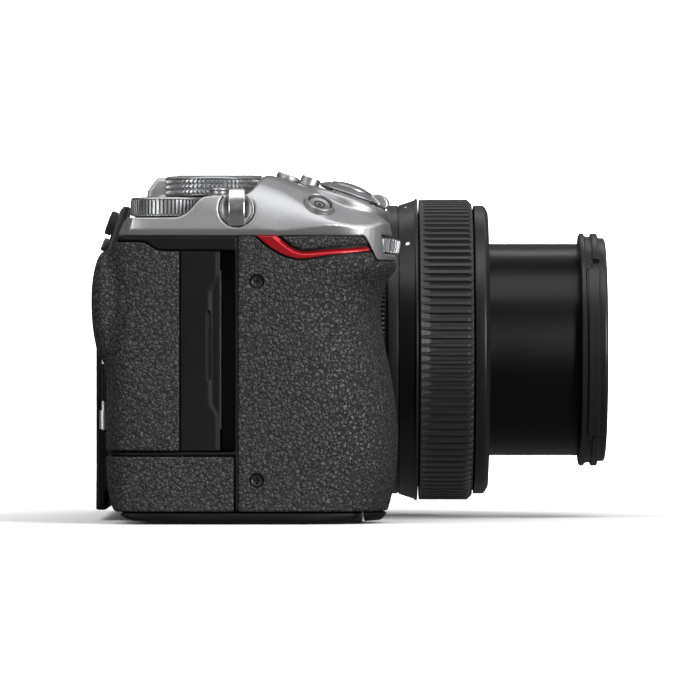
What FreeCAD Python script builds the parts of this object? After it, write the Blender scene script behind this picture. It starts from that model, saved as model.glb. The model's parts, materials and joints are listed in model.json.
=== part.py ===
import FreeCAD, Part
import os
import math

# Mirrorless camera with a compact zoom lens, in millimetres.
# +X is the way the lens points, +Z is up, -Y is the grip side.
# The lens axis lies at Y = 0; the underside of the base is Z = 0.
# X = 0 is just in front of the sensor plane, under the strap lugs.

os.makedirs("parts", exist_ok=True)
doc = FreeCAD.newDocument("Camera")
V = FreeCAD.Vector

# ---------------------------------------------------------------- dimensions
DIMS = [
    ("body_rear", 28.8), ("body_front", 17.0), ("side_near", 72.0), ("side_far", 54.0),
    ("base_thick", 2.3), ("cover_base", 61.4), ("deck_top", 65.3), ("mid_top", 70.0),
    ("block_top", 75.0), ("wall", 1.6), ("skin_thick", 0.8), ("lens_height", 37.1),
    ("mount_radius", 29.0), ("mount_bore", 23.5), ("mount_face", 17.8),
    ("ring_radius", 32.4), ("zoom_radius", 33.75), ("barrel_radius", 23.8),
    ("barrel_bore", 21.8), ("filter_radius", 23.0), ("front_flange", 26.15),
    ("mode_radius", 10.75), ("mode_height", 4.4), ("rear_dial_radius", 8.2),
    ("rear_dial_height", 4.4), ("front_dial_radius", 8.0), ("front_dial_height", 3.1),
    ("shaft_radius", 2.0), ("running_gap", 0.05), ("shutter_radius", 4.6),
    ("collar_radius", 9.0), ("release_tilt", 19.0), ("record_radius", 2.2),
    ("door_bottom", 15.3), ("door_top", 58.2), ("door_front", 3.7),
    ("screen_thick", 4.6), ("screen_low", 2.0), ("screen_high", 55.2),
    ("screen_left", 38.0), ("screen_right", 42.0), ("bracket_thick", 1.0),
    ("tripod_radius", 3.175), ("screw_radius", 1.43), ("pin_radius", 0.6),
    ("shoe_width", 21.2), ("shoe_length", 19.0), ("lug_width", 3.6), ("lug_height", 8.1),
    ("wheel_radius", 8.0), ("stick_radius", 2.7), ("battery_width", 22.7),
    ("battery_depth", 16.4), ("battery_height", 38.7), ("skin_depth", 0.8),
]
D = dict(DIMS)
sheet = doc.addObject("Spreadsheet::Sheet", "Dims")
for row, (alias, value) in enumerate(DIMS, start=1):
    sheet.set("A%d" % row, alias)
    sheet.set("B%d" % row, repr(value))
    sheet.setAlias("B%d" % row, alias)
doc.recompute()

NODES = []          # finished pieces: (object, node name)


def put(obj, prop, value):
    """A number is set as it is; text is bound to the sheet."""
    if isinstance(value, str):
        obj.setExpression(prop, value)
    else:
        setattr(obj, prop, value)


def node(obj, name):
    obj.Label = name
    NODES.append((obj, name))
    return obj


def turn(axis):
    """Rotation that takes +Z to the given direction."""
    return FreeCAD.Rotation(V(0, 0, 1), V(*axis))


def box(name, x0, x1, y0, y1, z0, z1, **bound):
    o = doc.addObject("Part::Box", name)
    o.Length, o.Width, o.Height = x1 - x0, y1 - y0, z1 - z0
    o.Placement = FreeCAD.Placement(V(x0, y0, z0), FreeCAD.Rotation())
    for prop, text in bound.items():
        o.setExpression(prop, text)
    return o


def cyl(name, r, h, base, axis=(0, 0, 1)):
    o = doc.addObject("Part::Cylinder", name)
    put(o, "Radius", r)
    put(o, "Height", h)
    o.Placement = FreeCAD.Placement(V(*base), turn(axis))
    return o


def cut(name, base, *tools):
    tool = tools[0]
    if len(tools) > 1:
        tool = doc.addObject("Part::MultiFuse", name + "_tools")
        tool.Shapes = list(tools)
    o = doc.addObject("Part::Cut", name)
    o.Base, o.Tool = base, tool
    return o


def fuse(name, *objs):
    o = doc.addObject("Part::MultiFuse", name)
    o.Shapes = list(objs)
    return o


def common(name, *objs):
    o = doc.addObject("Part::MultiCommon", name)
    o.Shapes = list(objs)
    return o


def group(name, *objs):
    o = doc.addObject("Part::Compound", name)
    o.Links = list(objs)
    return o


def origin_plane(body, role):
    for f in body.Origin.OriginFeatures:
        if f.Role == role:
            return f


def sketch_of(body, name, role, pts):
    sk = body.newObject("Sketcher::SketchObject", name)
    sk.AttachmentSupport = [(origin_plane(body, role), "")]
    sk.MapMode = "FlatFace"
    n = len(pts)
    for i in range(n):
        a, b = pts[i], pts[(i + 1) % n]
        sk.addGeometry(Part.LineSegment(V(a[0], a[1], 0), V(b[0], b[1], 0)), False)
    import Sketcher
    for i in range(n):
        sk.addConstraint(Sketcher.Constraint("Coincident", i, 2, (i + 1) % n, 1))
    return sk


def prism(name, plane, pts, length, at=0.0, place=None):
    """Pad of a closed outline. XY pads up from Z = at; XZ pads towards -Y from
    Y = at; YZ pads towards +X from X = at."""
    body = doc.addObject("PartDesign::Body", name)
    sk = sketch_of(body, name + "_outline", plane + "_Plane", pts)
    pad = body.newObject("PartDesign::Pad", name + "_pad")
    pad.Profile = sk
    put(pad, "Length", length)
    body.Tip = pad
    if place is not None:
        body.Placement = place
    else:
        off = {"XY": V(0, 0, at), "XZ": V(0, at, 0), "YZ": V(at, 0, 0)}[plane]
        body.Placement = FreeCAD.Placement(off, FreeCAD.Rotation())
    return body


def lathe_x(name, pts, angle=360.0, roll=0.0, bound=None):
    """Turned piece about the lens axis; outline points are (x, radius)."""
    body = doc.addObject("PartDesign::Body", name)
    sk = sketch_of(body, name + "_outline", "XZ_Plane", pts)
    rev = body.newObject("PartDesign::Revolution", name + "_turned")
    rev.Profile = sk
    rev.ReferenceAxis = (sk, ["H_Axis"])
    rev.Angle = angle
    body.Tip = rev
    body.Placement = FreeCAD.Placement(V(0, 0, D["lens_height"]),
                                       FreeCAD.Rotation(V(1, 0, 0), roll))
    body.setExpression("Placement.Base.z", "Dims.lens_height")
    return body


def lathe_z(name, pts, place, angle=360.0):
    """Turned piece about its own Z; outline points are (radius, height)."""
    body = doc.addObject("PartDesign::Body", name)
    sk = sketch_of(body, name + "_outline", "XZ_Plane", pts)
    rev = body.newObject("PartDesign::Revolution", name + "_turned")
    rev.Profile = sk
    rev.ReferenceAxis = (sk, ["V_Axis"])
    rev.Angle = angle
    body.Tip = rev
    body.Placement = place
    return body


def at(x, y, z, axis=(0, 0, 1)):
    return FreeCAD.Placement(V(x, y, z), turn(axis))


def inset(pts, t):
    """Outline moved inwards by t; points run counter-clockwise."""
    if t == 0:
        return list(pts)
    out = []
    n = len(pts)
    for i in range(n):
        p, q, r = pts[i - 1], pts[i], pts[(i + 1) % n]
        d1 = (q[0] - p[0], q[1] - p[1])
        d2 = (r[0] - q[0], r[1] - q[1])
        l1, l2 = math.hypot(*d1), math.hypot(*d2)
        n1 = (-d1[1] / l1, d1[0] / l1)
        n2 = (-d2[1] / l2, d2[0] / l2)
        k = 1 + n1[0] * n2[0] + n1[1] * n2[1]
        out.append((q[0] + t * (n1[0] + n2[0]) / k, q[1] + t * (n1[1] + n2[1]) / k))
    return out


# ------------------------------------------------------------ outer outlines
# Side outline of the body (X, Z) with the finger grooves of the grip front.
SIDE = [(-22.0, 0.0), (30.2, 0.0), (31.8, 0.7), (32.8, 3.3), (33.5, 5.9), (34.4, 10.8),
        (34.8, 17.8), (34.5, 23.0), (33.9, 27.6), (32.9, 33.4), (31.9, 36.8), (31.8, 41.1),
        (31.8, 46.9), (32.1, 51.5), (32.8, 52.4), (33.9, 53.8), (34.5, 54.7), (34.3, 56.5),
        (34.3, 61.4), (-25.7, 61.4), (-28.8, 56.0), (-28.8, 14.3), (-28.3, 8.0),
        (-27.0, 2.6), (-24.4, 1.2)]
SIDE_IN = [(-22.5, -2.0), (28.6, -2.0), (30.3, 4.5), (32.3, 18.0), (29.4, 38.5),
           (29.4, 49.5), (31.5, 55.5), (31.5, 61.5), (-22.9, 61.5), (-26.4, 55.4),
           (-26.4, 14.4), (-25.6, 8.0), (-24.6, 3.2)]
# Plan outline of the body (X, Y): grip at -Y, lens side at +X.
PLAN = [(-28.8, -63.0), (-28.2, -66.5), (-26.2, -69.4), (-23.0, -71.2), (-17.0, -71.9),
        (0.0, -72.0), (14.0, -71.9), (22.0, -71.0), (28.0, -68.6), (32.0, -64.9),
        (34.2, -60.5), (34.9, -55.5), (34.2, -51.0), (31.6, -47.2), (27.0, -44.4),
        (21.0, -41.6), (18.2, -39.6), (17.0, -36.5), (17.0, 46.0), (15.6, 50.8),
        (12.0, 53.2), (8.0, 54.0), (-21.0, 54.0), (-25.4, 52.8), (-28.0, 50.0),
        (-28.8, 46.0)]
PLAN_IN = [(-28.8, -63.0), (-26.2, -69.4), (-20.0, -72.0), (14.0, -72.0), (25.0, -70.2),
           (32.5, -64.0), (34.9, -55.5), (32.5, -48.0), (21.0, -41.6), (17.0, -36.5),
           (17.0, 46.0), (12.0, 53.2), (8.0, 54.0), (-21.0, 54.0), (-28.0, 50.0),
           (-28.8, 46.0)]


def stretch(pts, low, high):
    """Outline with its bottom and top edges moved out of the way."""
    zs = [p[1] for p in pts]
    lo, hi = min(zs) + 0.3, max(zs) - 0.3
    return [(x, low if z < lo else (high if z > hi else z)) for x, z in pts]


def form(name, side, plan):
    a = prism(name + "_side", "XZ", side, 140.0, at=62.0)
    b = prism(name + "_plan", "XY", plan, 96.0, at=-8.0)
    return common(name, a, b)


SKIN = D["skin_depth"]


def form_out(name):
    return form(name, SIDE, PLAN)


def form_skin(name):
    return form(name, stretch(inset(SIDE, SKIN), -2.0, 63.0), inset(PLAN, SKIN))


def form_in(name):
    return form(name, SIDE_IN, inset(PLAN_IN, 2.4))


LZ = D["lens_height"]
CB = D["cover_base"]
BT = D["base_thick"]

# Release slope: foot of the shutter axis on the slope, and the slope's normal.
TILT = math.radians(D["release_tilt"])
NR = (math.sin(TILT), 0.0, math.cos(TILT))
FOOT = (23.38, -55.0, 68.74)


def along(p, n, h):
    return (p[0] + n[0] * h, p[1] + n[1] * h, p[2] + n[2] * h)


# ---------------------------------------------------------------- top cover
A_NEAR = [(-25.7, CB), (26.8, CB), (27.6, 60.5), (29.8, 56.2), (34.3, 56.3), (33.9, 57.5),
          (32.9, 62.0), (32.0, 65.5), (8.3, 74.4), (6.3, 74.7), (5.2, 74.1), (3.4, 71.2),
          (1.6, 70.0), (-6.0, 70.0), (-8.0, 69.2), (-9.6, 67.0), (-12.0, 65.3),
          (-23.6, 65.3), (-24.6, 64.2)]
A_FAR = [(-25.7, CB), (26.8, CB), (27.6, 60.5), (29.8, 56.2), (34.3, 56.3), (33.9, 57.5),
         (32.9, 62.0), (32.0, 65.5), (8.3, 74.4), (6.3, 74.7), (5.4, 74.0), (5.3, 70.0),
         (-17.2, 70.0), (-19.0, 69.0), (-20.6, 66.6), (-23.6, 65.3), (-24.6, 64.2)]
B_OUT = [(-25.7, CB), (17.0, CB), (17.0, 71.0), (12.5, 75.0), (-18.6, 75.0), (-20.7, 72.1),
         (-21.2, 66.5), (-23.6, 65.3), (-24.6, 64.2)]
A_HOLLOW = [(-23.6, 61.0), (25.6, 61.0), (25.6, 66.1), (8.0, 72.7), (6.6, 72.7),
            (4.2, 68.4), (-5.4, 68.4), (-7.0, 67.4), (-10.0, 63.7), (-22.6, 63.7)]
A_HOLLOW_FAR = [(-23.6, 61.0), (25.6, 61.0), (25.6, 66.1), (8.0, 72.7), (7.0, 72.7),
                (6.9, 68.4), (-16.4, 68.4), (-19.4, 64.4), (-22.6, 63.7)]
B_HOLLOW = [(-23.6, 61.0), (15.4, 61.0), (15.4, 70.2), (11.9, 73.4), (-17.7, 73.4),
            (-19.1, 71.6), (-19.6, 65.1), (-22.6, 63.7)]

plan_out = prism("cover_plan", "XY", PLAN, 40.0, at=50.0)
plan_in = prism("cover_plan_in", "XY", inset(PLAN_IN, 1.6), 40.0, at=50.0)


def cover_solid(tag):
    a = prism("cover_near" + tag, "XZ", A_NEAR, 22.6, at=-49.5)
    b = prism("cover_mid" + tag, "XZ", A_FAR, 21.5, at=-28.0)
    c = prism("cover_far" + tag, "XZ", B_OUT, 82.1, at=54.1)
    return fuse("cover_mass" + tag, a, b, c)


def cover_part(tag):
    return common("cover_form" + tag, cover_solid(tag),
                  prism("cover_plan" + tag, "XY", PLAN, 40.0, at=50.0))


mound = lathe_z("cover_mound", [(0, -4.0), (8.6, -4.0), (9.3, 0.2), (8.9, 0.9), (7.7, 1.25),
                                (0, 1.25)], at(*FOOT, NR))
hub = lathe_z("cover_hub", [(0, -3.0), (4.2, -3.0), (4.2, 1.9), (0, 1.9)], at(*FOOT, NR))
mound_in = common("mound_inside", mound, prism("mound_plan", "XY", inset(PLAN, 0.05), 40.0, at=50.0))
cover_raw = fuse("cover_raw", cover_part("_a"), mound_in, hub)
hollow = common("cover_hollow", fuse("cover_hollow_mass",
                prism("hollow_near", "XZ", A_HOLLOW, 21.0, at=-49.4),
                prism("hollow_mid", "XZ", A_HOLLOW_FAR, 21.6, at=-28.0),
                prism("hollow_far", "XZ", B_HOLLOW, 80.5, at=52.4)), plan_in)
# Near side edge of the finger rest slopes in, with the oval button on it.
FN_N = (0.2725, -0.547, 0.7915)
FN_C = (17.4, -67.1, 67.95)


def on_slope(low, x0=0.0, y0=0.0):
    """Placement whose Z is the side slope's normal and whose X runs down the finger rest."""
    zdir = V(*FN_N)
    xdir = V(math.cos(TILT), 0, -math.sin(TILT))
    xdir = (xdir - zdir * xdir.dot(zdir)).normalize()
    ydir = zdir.cross(xdir)
    m = FreeCAD.Matrix(xdir.x, ydir.x, zdir.x, 0, xdir.y, ydir.y, zdir.y, 0,
                       xdir.z, ydir.z, zdir.z, 0, 0, 0, 0, 1)
    pl = FreeCAD.Placement(m)
    pl.Base = V(*FN_C) + xdir * x0 + ydir * y0 + zdir * low
    return pl


slope = box("cover_slope", 0, 60, 0, 40, 0, 14)
slope.Placement = on_slope(0.0, -30.0, -20.0)


def oval(name, a, b, low, high):
    """Oval post on the side slope; a and b are half sizes."""
    pts = [(a * math.cos(i * math.pi / 16), b * math.sin(i * math.pi / 16)) for i in range(32)]
    return prism(name, "XY", pts, high - low, place=on_slope(low))


FLAT_P = (10.25, -45.0, 73.67)
REC_P = (14.75, -45.0, 71.98)
MODE_P = (-5.9, -40.0, 70.5)
RDIAL_P = (-15.2, -58.0, 65.45)
LOCK_P = (-4.2, -56.0, 70.0)
FD_N = (math.sin(math.radians(8.0)), 0.0, math.cos(math.radians(8.0)))
FD_P = (26.7, -53.0, 58.75)
LUG_X, LUG_Z = -0.2, 67.1
RELEASE_P = (14.0, 35.5, 27.0)
PANEL_N = (-0.936, 0.0, 0.352)
STICK_P = (-26.74, -40.0, 64.2)
BUTTON_P = (-28.47, -46.0, 59.6)

cover_holes = fuse(
    "cover_holes",
    hollow, slope,
    cyl("hole_mode", "Dims.shaft_radius + Dims.running_gap", 8.0, (-5.9, -40.0, 65.0)),
    cyl("hole_rear_dial", "Dims.shaft_radius + Dims.running_gap", 8.0, (-15.2, -58.0, 60.0)),
    cyl("well_rear_dial", "Dims.rear_dial_radius + 0.5", 9.0, (-15.2, -58.0, 65.3)),
    cyl("hole_release", "Dims.shaft_radius + Dims.running_gap", 12.0, along(FOOT, NR, -6.0), NR),
    cyl("hole_flat", 1.25, 8.0, along(FLAT_P, NR, -5.0), NR),
    cyl("well_record", 2.35, 0.9, along(REC_P, NR, -0.1), NR),
    cyl("hole_record", 1.25, 8.0, along(REC_P, NR, -5.0), NR),
    cyl("hole_lock", 1.25, 6.0, (LOCK_P[0], LOCK_P[1], 66.0)),
    cyl("well_front_dial", "Dims.front_dial_radius + 0.4", 3.9, along(FD_P, FD_N, -0.4), FD_N),
    cyl("hole_front_dial", "Dims.shaft_radius - 0.7 + Dims.running_gap", 9.0,
        along(FD_P, FD_N, -3.0), FD_N),
    oval("seat_fn", 3.2, 3.05, -1.3, 2.0),
    oval("hole_fn", 1.25, 1.25, -9.0, 2.0),
    cyl("seat_lug_near", 3.9, 4.0, (LUG_X, -69.95, LUG_Z), (0, -1, 0)),
    box("notch_lug_near", LUG_X - 1.9, LUG_X + 1.9, -76.0, -71.5, LUG_Z, 74.0),
    cyl("seat_lug_far", 3.9, 4.0, (LUG_X, 51.95, LUG_Z), (0, 1, 0)),
    box("notch_lug_far", LUG_X - 1.9, LUG_X + 1.9, 53.5, 58.0, LUG_Z, 72.0),
)

shoe_pan = box("shoe_pan", -26.0, 8.0, -13.0, 13.0, 69.6, 76.0)
shoe_recess = box("shoe_recess", -22.0, 5.5, -10.9, 10.9, 71.4, 77.0)
PANEL = [(-29.3, 57.2), (-25.4, 57.2), (-25.4, 61.9), (-23.9, 68.1), (-25.2, 68.3)]


def panel_mass(name, grow=0.0):
    return prism(name, "XZ", inset(PANEL, -grow) if grow else PANEL, 19.0 + 2 * grow,
                 at=-31.0 + grow)


front_wheel_well = cyl("well_front_dial_b", "Dims.front_dial_radius + 0.4", 3.9,
                       along(FD_P, FD_N, -0.4), FD_N)
cover_body = fuse("cover_body", cut("cover_shell", cover_raw, cover_holes),
                  common("shoe_floor", cover_part("_b"),
                         box("shoe_floor_block", -22.6, 8.0, -13.0, 13.0, 69.6, 76.0)))
node(cut("top_cover_cut", cover_body, shoe_recess, panel_mass("panel_seat_cover"),
         cyl("mount_way_cover", "Dims.mount_radius + 0.15", 8.0, (13.0, 0, LZ), (1, 0, 0)),
         cyl("stick_way_cover", 2.4, 7.0, along(STICK_P, PANEL_N, -5.5), PANEL_N)), "top_cover")

# ---------------------------------------------------------------- base plate
BATTERY_BAY = (1.0, 27.0, -68.0, -45.9)
base_holes = [
    box("bay_base", *BATTERY_BAY[:2], *BATTERY_BAY[2:], -1.0, 4.0),
    box("screen_room", -31.0, -24.2, -39.0, 43.0, -1.0, 4.0),
    cyl("seat_tripod", 6.0, 4.0, (0, 0, -1.0)),
]
BASE_SCREWS = [(-18.0, -60.0), (-18.0, 46.0), (10.0, 46.0), (10.0, -32.0), (-18.0, -24.0)]
for i, (x, y) in enumerate(BASE_SCREWS):
    base_holes.append(cyl("base_screw_seat%d" % i, 1.5, 1.2, (x, y, -0.1)))
    base_holes.append(cyl("base_screw_way%d" % i, 0.85, 4.0, (x, y, -1.0)))
node(cut("base_cut", common("base_mass", form_out("base_form"),
                            box("base_zone", -40, 40, -80, 60, 0.0, BT)), *base_holes), "base_plate")

# ------------------------------------------------------ skins and accent strip
ACCENT = [(4.05, 61.4), (5.2, 60.3), (7.3, 58.7), (9.5, 57.4), (11.6, 56.7), (13.5, 56.4),
          (15.9, 56.7), (19.7, 57.3), (21.8, 57.5), (28.4, 58.2), (28.0, 59.2), (21.8, 58.7),
          (19.7, 58.6), (15.9, 58.2), (13.8, 58.1), (12.3, 58.5), (10.9, 59.4), (9.5, 60.5),
          (8.4, 61.4)]
accent_zone = prism("accent_zone", "XZ", ACCENT, 22.0, at=-58.0)
near_zone = box("near_zone", 0.1, 40.0, -80.0, -41.6, BT, CB)
cover_keep = cover_solid("_keep")
skin_shell = cut("skin_shell", form_out("skin_outer"), form_skin("skin_inner"))
grip_raw = common("grip_raw", skin_shell, near_zone)
GRIP_SCREWS = [(4.1, 51.6), (4.1, 9.1)]
grip_ways = [cyl("grip_way%d" % i, 1.53, 8.0, (x, -67.0, z), (0, -1, 0))
             for i, (x, z) in enumerate(GRIP_SCREWS)]
node(cut("grip_skin_cut", grip_raw, cover_keep, accent_zone, front_wheel_well, *grip_ways),
     "grip_skin")
node(cut("accent_cut", common("accent_raw", cut("accent_shell", form_out("accent_outer"),
                                                form_skin("accent_inner")),
                              prism("accent_mass", "XZ", ACCENT, 22.0, at=-58.0)),
         cover_solid("_keep2")), "red_accent")
low_skin = common("low_skin", cut("skin_shell2", form_out("skin_outer2"), form_skin("skin_inner2")),
                  box("low_zone", -29.0, -0.6, -80.0, -61.0, BT, 14.3))
far_skin = common("far_skin", cut("skin_shell3", form_out("skin_outer3"), form_skin("skin_inner3")),
                  box("far_zone", 2.0, 20.0, 33.0, 60.0, 4.0, 58.0))
node(group("body_skins_set", low_skin, cut("far_skin_cut", far_skin,
           cyl("release_way_skin", 3.35, 8.0, (13.0, RELEASE_P[1], RELEASE_P[2]), (1, 0, 0)))), "body_skins")

# --------------------------------------------------------------- front shell
front_zone = box("front_zone", 0.0, 40.0, -80.0, 60.0, BT, CB)
front_raw = cut("front_raw", common("front_mass", form_out("front_outer"), front_zone),
                form_in("front_inner"))
screw_bosses = [cyl("grip_boss%d" % i, 2.4, 3.4, (x, -66.6, z), (0, -1, 0))
                for i, (x, z) in enumerate(GRIP_SCREWS)]
front_full = fuse("front_full", front_raw, common("front_bosses_in", fuse("front_bosses",
                  *screw_bosses), form_skin("boss_limit")))
skins_near = common("skins_near", cut("skin_shell4", form_out("skin_outer4"),
                                      form_skin("skin_inner4")),
                    fuse("skin_zones", box("near_zone2", 0.1, 40.0, -80.0, -41.6, BT, CB),
                         box("far_zone2", 2.0, 20.0, 33.0, 60.0, 4.0, 58.0)))
front_one = cut("front_cut", front_full, skins_near, cover_solid("_keep3"),
         box("front_clear", 30.5, 37.0, -63.0, -43.0, 58.9, 63.0),
         cyl("well_front_dial_c", "Dims.front_dial_radius + 0.4", 3.9,
             along(FD_P, FD_N, -0.4), FD_N),
         cyl("mount_way", "Dims.mount_radius + 0.15", 8.0, (13.0, 0, LZ), (1, 0, 0)),
         cyl("release_way", 3.35, 8.0, (13.0, RELEASE_P[1], RELEASE_P[2]), (1, 0, 0)),
         *[cyl("grip_seat%d" % i, 1.53, 6.0, (x, -69.6, z), (0, -1, 0))
           for i, (x, z) in enumerate(GRIP_SCREWS)],
         *[cyl("grip_thread%d" % i, 0.8, 8.0, (x, -66.0, z), (0, -1, 0))
           for i, (x, z) in enumerate(GRIP_SCREWS)])
# The shell is two mouldings that meet at a seam where the grip leaves the body.
SEAM_Y = -39.6
node(group("front_set",
           common("front_grip", front_one, box("grip_half", -1.0, 40.0, -80.0, SEAM_Y, 0.0, 64.0)),
           common("front_body", front_one, box("body_half", -1.0, 40.0, SEAM_Y, 60.0, 0.0, 64.0))),
     "front_shell")

# ---------------------------------------------------------------- rear shell
DB, DT, DF = D["door_bottom"], D["door_top"], D["door_front"]
HINGE = (-29.0, -60.0)           # upright axis of the card door
ARMS = [(20.0, 24.0), (50.0, 54.0)]
rear_zone = box("rear_zone", -40.0, 0.0, -80.0, 60.0, BT, CB)
rear_raw = fuse("rear_raw", cut("rear_walls", common("rear_mass", form_out("rear_outer"), rear_zone),
                form_in("rear_inner")),
                box("rear_tray", -26.6, -23.8, -41.0, 45.0, BT, 57.5))
WHEEL_P = (-28.8, -48.5, 30.0)
PORT = (-21.0, -4.0, 30.0, 54.0)
rear_cuts = [
    box("door_way", -40.0, -DF + 0.3, -80.0, -59.7, DB - 0.3, DT + 0.3),
    cyl("door_knuckle_way", 1.35, DT - DB + 0.6, (HINGE[0], HINGE[1], DB - 0.3)),
    box("screen_well", -40.0, -25.4, -38.6, 42.6, -1.0, 56.1),
    common("low_skin_seat", cut("skin_shell5", form_out("skin_outer5"), form_skin("skin_inner5")),
           box("low_zone2", -29.0, -0.6, -80.0, -61.0, BT, 14.3)),
    panel_mass("panel_seat_rear"),
    cyl("button_way_rear", 1.3, 5.0, along(BUTTON_P, PANEL_N, -4.6), PANEL_N),
    box("port_way", PORT[0] - 0.3, PORT[1] + 1.9, 52.0, 60.0, PORT[2] - 0.3, PORT[3] + 0.3),
    box("port_socket_way", -19.0, -5.0, 50.0, 60.0, PORT[2] + 1.5, PORT[3] - 1.5),
    cyl("wheel_way", "Dims.shaft_radius + Dims.running_gap", 8.0,
        (-22.0, WHEEL_P[1], WHEEL_P[2]), (-1, 0, 0)),
    cyl("wheel_well", "Dims.wheel_radius + 0.5", 4.0, (-27.5, WHEEL_P[1], WHEEL_P[2]), (-1, 0, 0)),
]
for i, (z0, z1) in enumerate(ARMS):
    rear_cuts.append(box("arm_way%d" % i, -30.0, -20.0, -60.0, -57.6, z0 - 0.3, z1 + 0.3))
BR_AX = (-27.3, 3.5)              # lower axis of the tilt bracket (X, Z)
rear_lugs = [fuse("rear_lug%d" % i, box("rear_lug_web%d" % i, BR_AX[0], -25.2, y, y + 2.8, 2.35, 4.7),
                  cyl("rear_lug_roll%d" % i, 1.15, 2.8, (BR_AX[0], y, BR_AX[1]), (0, 1, 0)))
             for i, y in enumerate([-29.4, 30.6])]
node(cut("rear_bored", fuse("rear_with_lugs", cut("rear_cut", rear_raw, *rear_cuts), *rear_lugs),
         cyl("bracket_pin_way", "Dims.pin_radius + Dims.running_gap", 66.0,
             (BR_AX[0], -31.0, BR_AX[1]), (0, 1, 0))), "rear_shell")
node(cut("panel_cut", panel_mass("panel_mass"),
         cyl("stick_way", 2.0, 6.0, along(STICK_P, PANEL_N, -4.5), PANEL_N),
         cyl("button_way", 1.0, 5.0, along(BUTTON_P, PANEL_N, -4.0), PANEL_N)), "rear_panel")

# ------------------------------------------------------- chassis and fittings
node(cut("chassis_cut", box("chassis_mass", -20.0, 14.0, -43.0, 45.5, 3.5, 58.0),
         box("chassis_room", -21.0, 12.5, -41.5, 44.0, 5.0, 56.5),
         cyl("throat", 23.2, 8.0, (10.0, 0, LZ), (1, 0, 0)),
         cyl("tripod_way", 6.1, 8.0, (0, 0, 0)),
         cyl("release_pin_way", 1.6, 6.0, (10.0, RELEASE_P[1], RELEASE_P[2]), (1, 0, 0))), "chassis")
node(cut("tripod_cut", cyl("tripod_body", 5.95, 7.2, (0, 0, 0)),
         cyl("tripod_bore", "Dims.tripod_radius", 8.0, (0, 0, -0.5))), "tripod_socket")
node(group("feet_set", *[box("foot%d" % i, x - 2.0, x + 2.0, y - 3.0, y + 3.0, -0.3, 0.0)
                         for i, (x, y) in enumerate([(-17.8, -66.0), (-17.8, 50.0),
                                                     (-12.0, 38.0), (13.0, -28.0)])]), "feet")
MOUNT_SCREWS = [(45, 26.4), (135, 26.4), (225, 26.4), (315, 26.4)]
mount_ways = []
screws = []
for i, (deg, r) in enumerate(MOUNT_SCREWS):
    y, z = r * math.cos(math.radians(deg)), LZ + r * math.sin(math.radians(deg))
    mount_ways.append(cyl("mount_seat%d" % i, 1.45, 1.2, (16.9, y, z), (1, 0, 0)))
    mount_ways.append(cyl("mount_thread%d" % i, 0.85, 5.0, (13.5, y, z), (1, 0, 0)))
    screws.append(fuse("mount_screw%d" % i, cyl("mount_head%d" % i, 1.4, 0.8, (16.9, y, z), (1, 0, 0)),
                       cyl("mount_shank%d" % i, 0.8, 2.8, (14.1, y, z), (1, 0, 0))))
node(cut("mount_cut", lathe_x("mount_ring_mass", [(14.05, 23.5), (14.05, 28.9), (17.3, 28.9),
         (17.8, 28.5), (17.8, 23.5)]), *mount_ways), "mount_ring")
for i, (x, y) in enumerate(BASE_SCREWS):
    screws.append(fuse("base_screw%d" % i, cyl("base_head%d" % i, 1.4, 0.8, (x, y, 0.25)),
                       cyl("base_shank%d" % i, 0.8, 2.1, (x, y, 1.0))))
node(group("case_screw_set", *screws), "case_screws")
grip_set = []
for i, (x, z) in enumerate(GRIP_SCREWS):
    head = cut("grip_head_cut%d" % i, cyl("grip_head%d" % i, "Dims.screw_radius", 1.0, (x, -70.0, z), (0, -1, 0)),
               box("grip_cross_a%d" % i, x - 0.85, x + 0.85, -71.5, -70.5, z - 0.2, z + 0.2),
               box("grip_cross_b%d" % i, x - 0.2, x + 0.2, -71.5, -70.5, z - 0.85, z + 0.85))
    grip_set.append(fuse("grip_screw%d" % i, head, cyl("grip_shank%d" % i, 0.75, 3.4, (x, -66.8, z), (0, -1, 0))))
node(group("grip_screw_set", *grip_set), "grip_screws")

# ------------------------------------------------------------------ strap lugs
def lug(tag, y, s):
    """Round cup let into the cover's side, with an upright bar across it."""
    cup = cut("lug_cup" + tag, cyl("lug_disc" + tag, 3.84, 2.0, (LUG_X, y, LUG_Z), (0, s, 0)),
              cyl("lug_room" + tag, 3.4, 2.0, (LUG_X, y + s * 0.5, LUG_Z), (0, s, 0)))
    y0, y1 = y + s * 1.6, y + s * 2.9
    bar = box("lug_bar" + tag, LUG_X - 1.8, LUG_X + 1.8, min(y0, y1), max(y0, y1),
              LUG_Z - 3.3, LUG_Z + 4.3)
    return fuse("lug_mass" + tag, cup, bar)


node(group("lug_set", lug("_near", -70.0, -1), lug("_far", 52.0, 1)), "strap_lugs")

# ------------------------------------------------------------------- hot shoe
node(fuse("shoe_set", box("shoe_base", -14.4, 5.3, -10.6, 10.6, 71.4, 72.4, Width="Dims.shoe_width"),
          box("shoe_wall_a", -14.4, 4.6, -10.6, -9.35, 71.4, 76.0),
          box("shoe_wall_b", -14.4, 4.6, 9.35, 10.6, 71.4, 76.0),
          box("shoe_lip_a", -14.4, 4.6, -10.6, -6.25, 74.5, 76.0),
          box("shoe_lip_b", -14.4, 4.6, 6.25, 10.6, 74.5, 76.0),
          box("shoe_stop", 4.6, 5.3, -10.6, 10.6, 71.4, 74.6)), "hot_shoe")

# ---------------------------------------------------------------- top controls
SH = D["shaft_radius"]


def dial(name, p, n, r, h, shaft, bevel=0.7, sr=SH):
    knob = lathe_z(name + "_knob", [(0, 0), (r - 0.4, 0), (r, 0.4), (r, h - bevel),
                                    (r - bevel, h), (0, h)], at(*p, n))
    post = cyl(name + "_shaft", sr, shaft + 0.2, along(p, n, -shaft), n)
    return fuse(name + "_fused", knob, post)


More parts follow.
